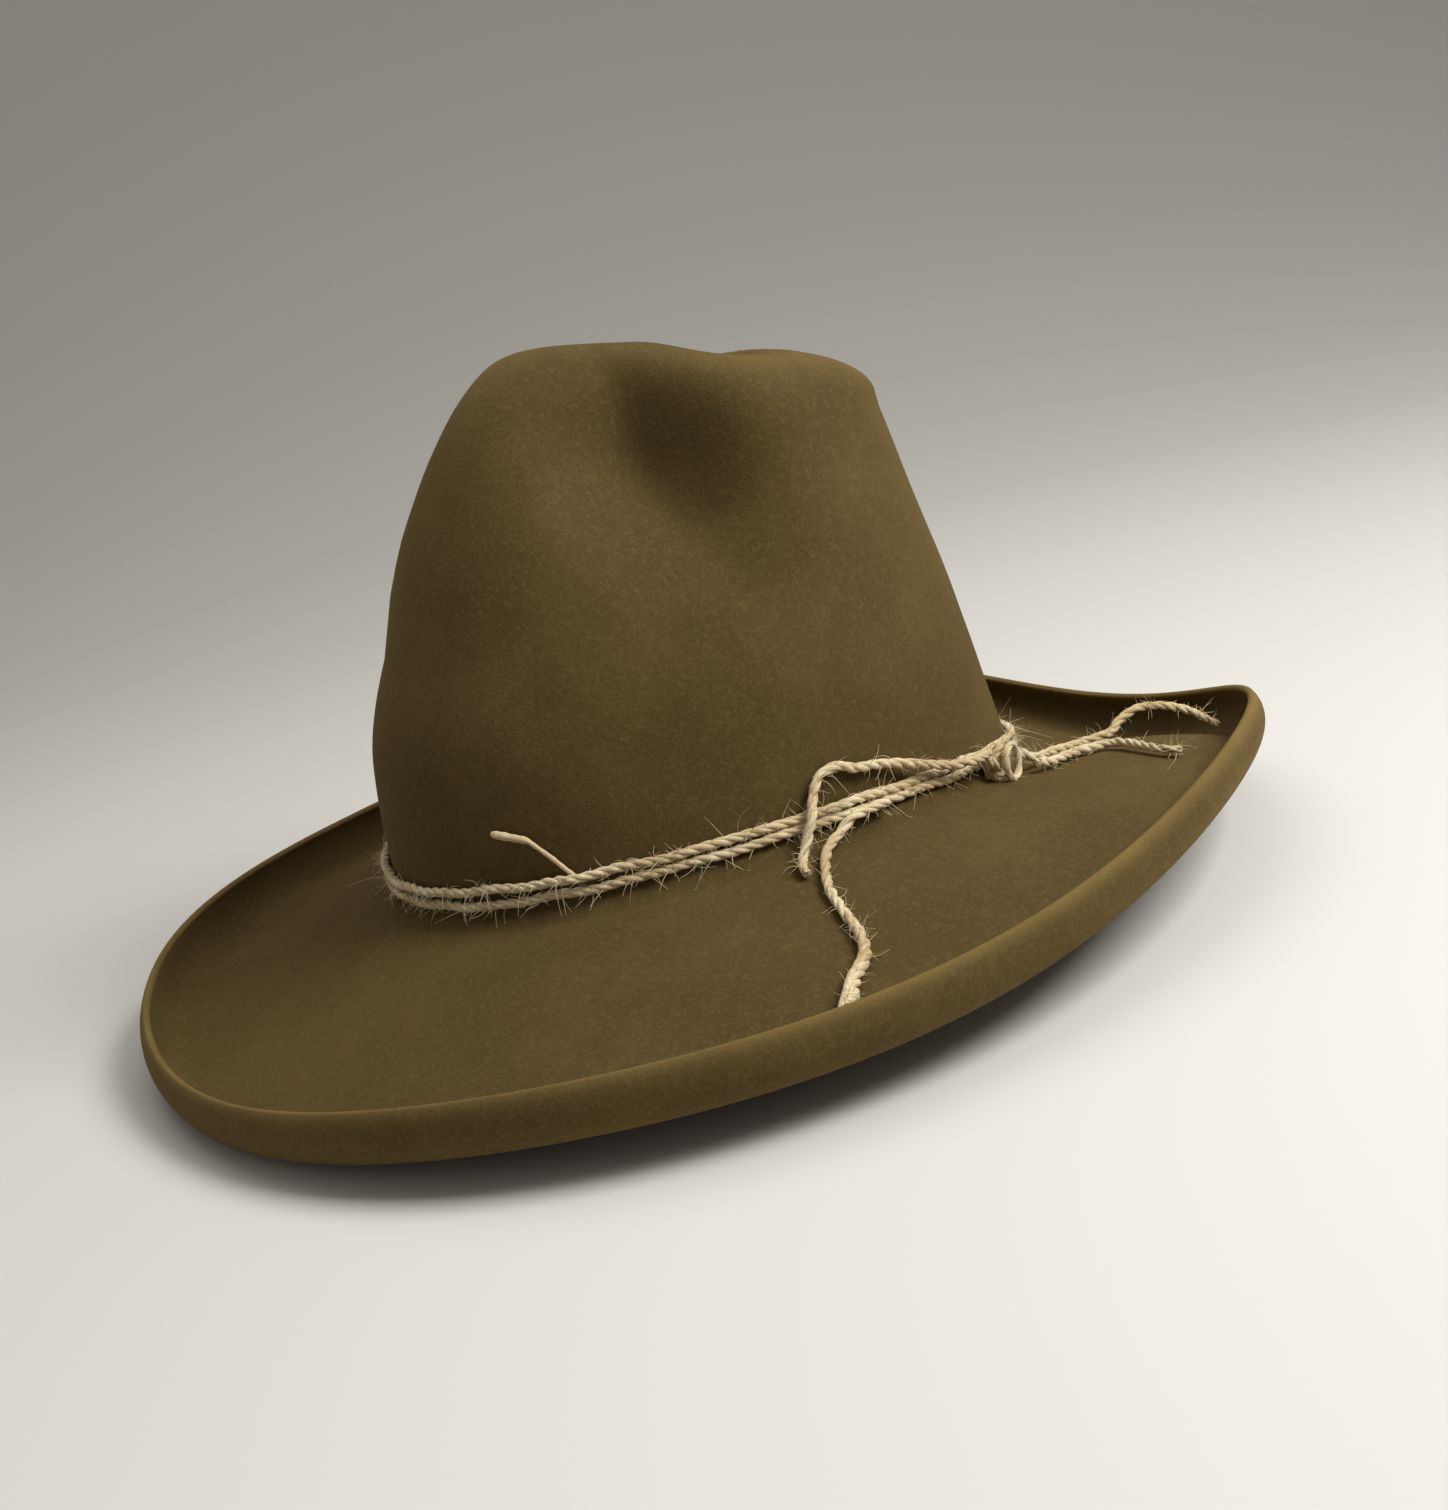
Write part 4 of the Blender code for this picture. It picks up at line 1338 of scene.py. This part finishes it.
@dataclass
class Stick:
    """Thin dry stick tucked behind the upper turn, snapped near its tip."""

    width: float = 1.3

    def build(self, wood: bpy.types.Material) -> None:
        """Build the stick with its thicker tip.

        Args:
            wood: its finish.
        """
        route = [FORM.wall_at(radians(t), h, -o) for t, h, o in
                 ((40.2, 6.6, 1.1), (38.6, 9.8, 1.15), (36.7, 13.8, 1.3), (34.2, 18.6, 1.9),
                  (33.1, 20.4, 2.3), (30.4, 22.0, 2.4), (27.1, 23.7, 2.5))]
        line = curve_through(route, 0.45)
        s = np.linspace(0, 1, len(line))
        radius = 0.5 * self.width * np.interp(s, [0, 0.6, 0.68, 0.95, 1.0], [1.0, 1.0, 1.6, 1.7, 1.25])
        radius = radius * (1 + 0.06 * np.sin(s * 60) + 0.05 * np.sin(s * 23))
        dress(tube_mesh([line], [radius], False, 12, "dry_stick"), wood, Body.STICK, "stick_wood", "stick")


# ---------------------------------------------------------------- studio


@dataclass
class Studio:
    """Floor, soft lights and the camera."""

    eye: tuple[float, float, float] = (0.46084, -0.27395, 0.18522)
    right: tuple[float, float, float] = (0.55503, 0.80431, -0.21219)
    up: tuple[float, float, float] = (-0.11204, 0.32505, 0.93904)
    sensor_mm: float = 36.0
    lens_mm: float = 44.55
    lens_shift: tuple[float, float] = (0.01167127, 0.03093923)
    sweep_at: float = 0.7         # metres behind the hat at which the floor starts to bend up
    sweep_radius: float = 2.0
    light_way: float = 1.1        # metres from the hat's middle to each light

    def build(self) -> None:
        """Set up everything round the hat."""
        self.floor()
        self.camera()
        self.lights()

    def floor(self) -> None:
        """Pale floor that bends up behind the hat."""
        floor = new_grid("studio_floor", 40, 2)
        away = Vector((-self.eye[0], -self.eye[1], 0.0)).normalized()
        side = Vector((-away.y, away.x, 0.0))
        for vertex in floor.data.vertices:
            run = -4.0 + (vertex.co.x + 0.5) * 10.0
            bend = min(max((run - self.sweep_at) / self.sweep_radius, 0.0), pi / 2)
            flat = min(run, self.sweep_at) + self.sweep_radius * sin(bend)
            past = max(0.0, run - self.sweep_at - self.sweep_radius * pi / 2)
            rise = self.sweep_radius * (1 - cos(bend)) + past
            vertex.co = away * flat + side * (vertex.co.y * 14.0) + Vector((0, 0, rise))
        make_active(floor)
        bpy.ops.object.shade_smooth()
        material, _, shader = new_material("floor_paper", 0.9)
        shader.inputs["Base Color"].default_value = linear("d9d6cf")
        floor.data.materials.append(material)

    def camera(self) -> None:
        """Camera at its place, with its lens and shift."""
        data = bpy.data.cameras.new("view")
        data.sensor_fit = "HORIZONTAL"
        data.sensor_width = self.sensor_mm
        data.lens = self.lens_mm
        data.shift_x, data.shift_y = self.lens_shift
        data.clip_start = 0.01
        camera = bpy.data.objects.new("view", data)
        right, up = Vector(self.right), Vector(self.up)
        back = right.cross(up)
        m = Matrix((right, up, back)).transposed().to_4x4()
        m.translation = Vector(self.eye)
        camera.matrix_world = m
        bpy.context.scene.collection.objects.link(camera)
        bpy.context.scene.camera = camera

    def lights(self) -> None:
        """Large soft key from the upper right, a weak fill and a pale sky."""
        right, up = Vector(self.right), Vector(self.up)
        back = right.cross(up)
        for name, way, power, size in (("key", right * 0.75 + up * 1.05 + back * 0.75, 13.0, 0.5),
                                       ("fill", up * 1.3 - right * 0.35 + back * 0.1, 4.0, 1.0)):
            data = bpy.data.lights.new(name, "AREA")
            data.energy, data.size = power, size
            light = bpy.data.objects.new(name, data)
            light.location = Vector((0, 0, 0.08)) + way.normalized() * self.light_way
            light.rotation_euler = (-way).to_track_quat("-Z", "Y").to_euler()
            bpy.context.scene.collection.objects.link(light)
        world = bpy.data.worlds.new("sky")
        world.use_nodes = True
        sky = world.node_tree.nodes["Background"]
        sky.inputs["Color"].default_value = linear("f2f0ea")
        sky.inputs["Strength"].default_value = 0.3
        bpy.context.scene.world = world
        bpy.context.scene.view_settings.view_transform = "Standard"


def main() -> None:
    """Load the frame and build every piece in order."""
    logging.basicConfig(level=logging.INFO, format="%(message)s")
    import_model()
    Studio().build()
    TwineBand().build(RawJute().make(), RawJute("jute_fluff", "9a845c", "cbb68c", "eadcb8").make())
    FeltBody().build(WoolFelt().make())
    Sweatband().build(TannedLeather().make(), MouldedPlastic().make(),
                      WovenCloth("cotton_thread", "5d4a33", "8a7250", 0.7, 0.2).make(),
                      WovenCloth("grosgrain_ribbon", "1f1812", "3a2e22", 0.6, 0.3).make(),
                      WovenCloth("cotton_tape", "b9b19c", "ddd6c4", 0.8, 0.2).make())
    Liner().build(WovenCloth("satin", "6b5733", "a88c58", 0.34, 0.25, 1.4).make(),
                  WovenCloth("satin_piping", "3a2a18", "5d4529", 0.4, 0.25).make())
    Stick().build(DryWood().make())


if __name__ == "__main__":
    main()
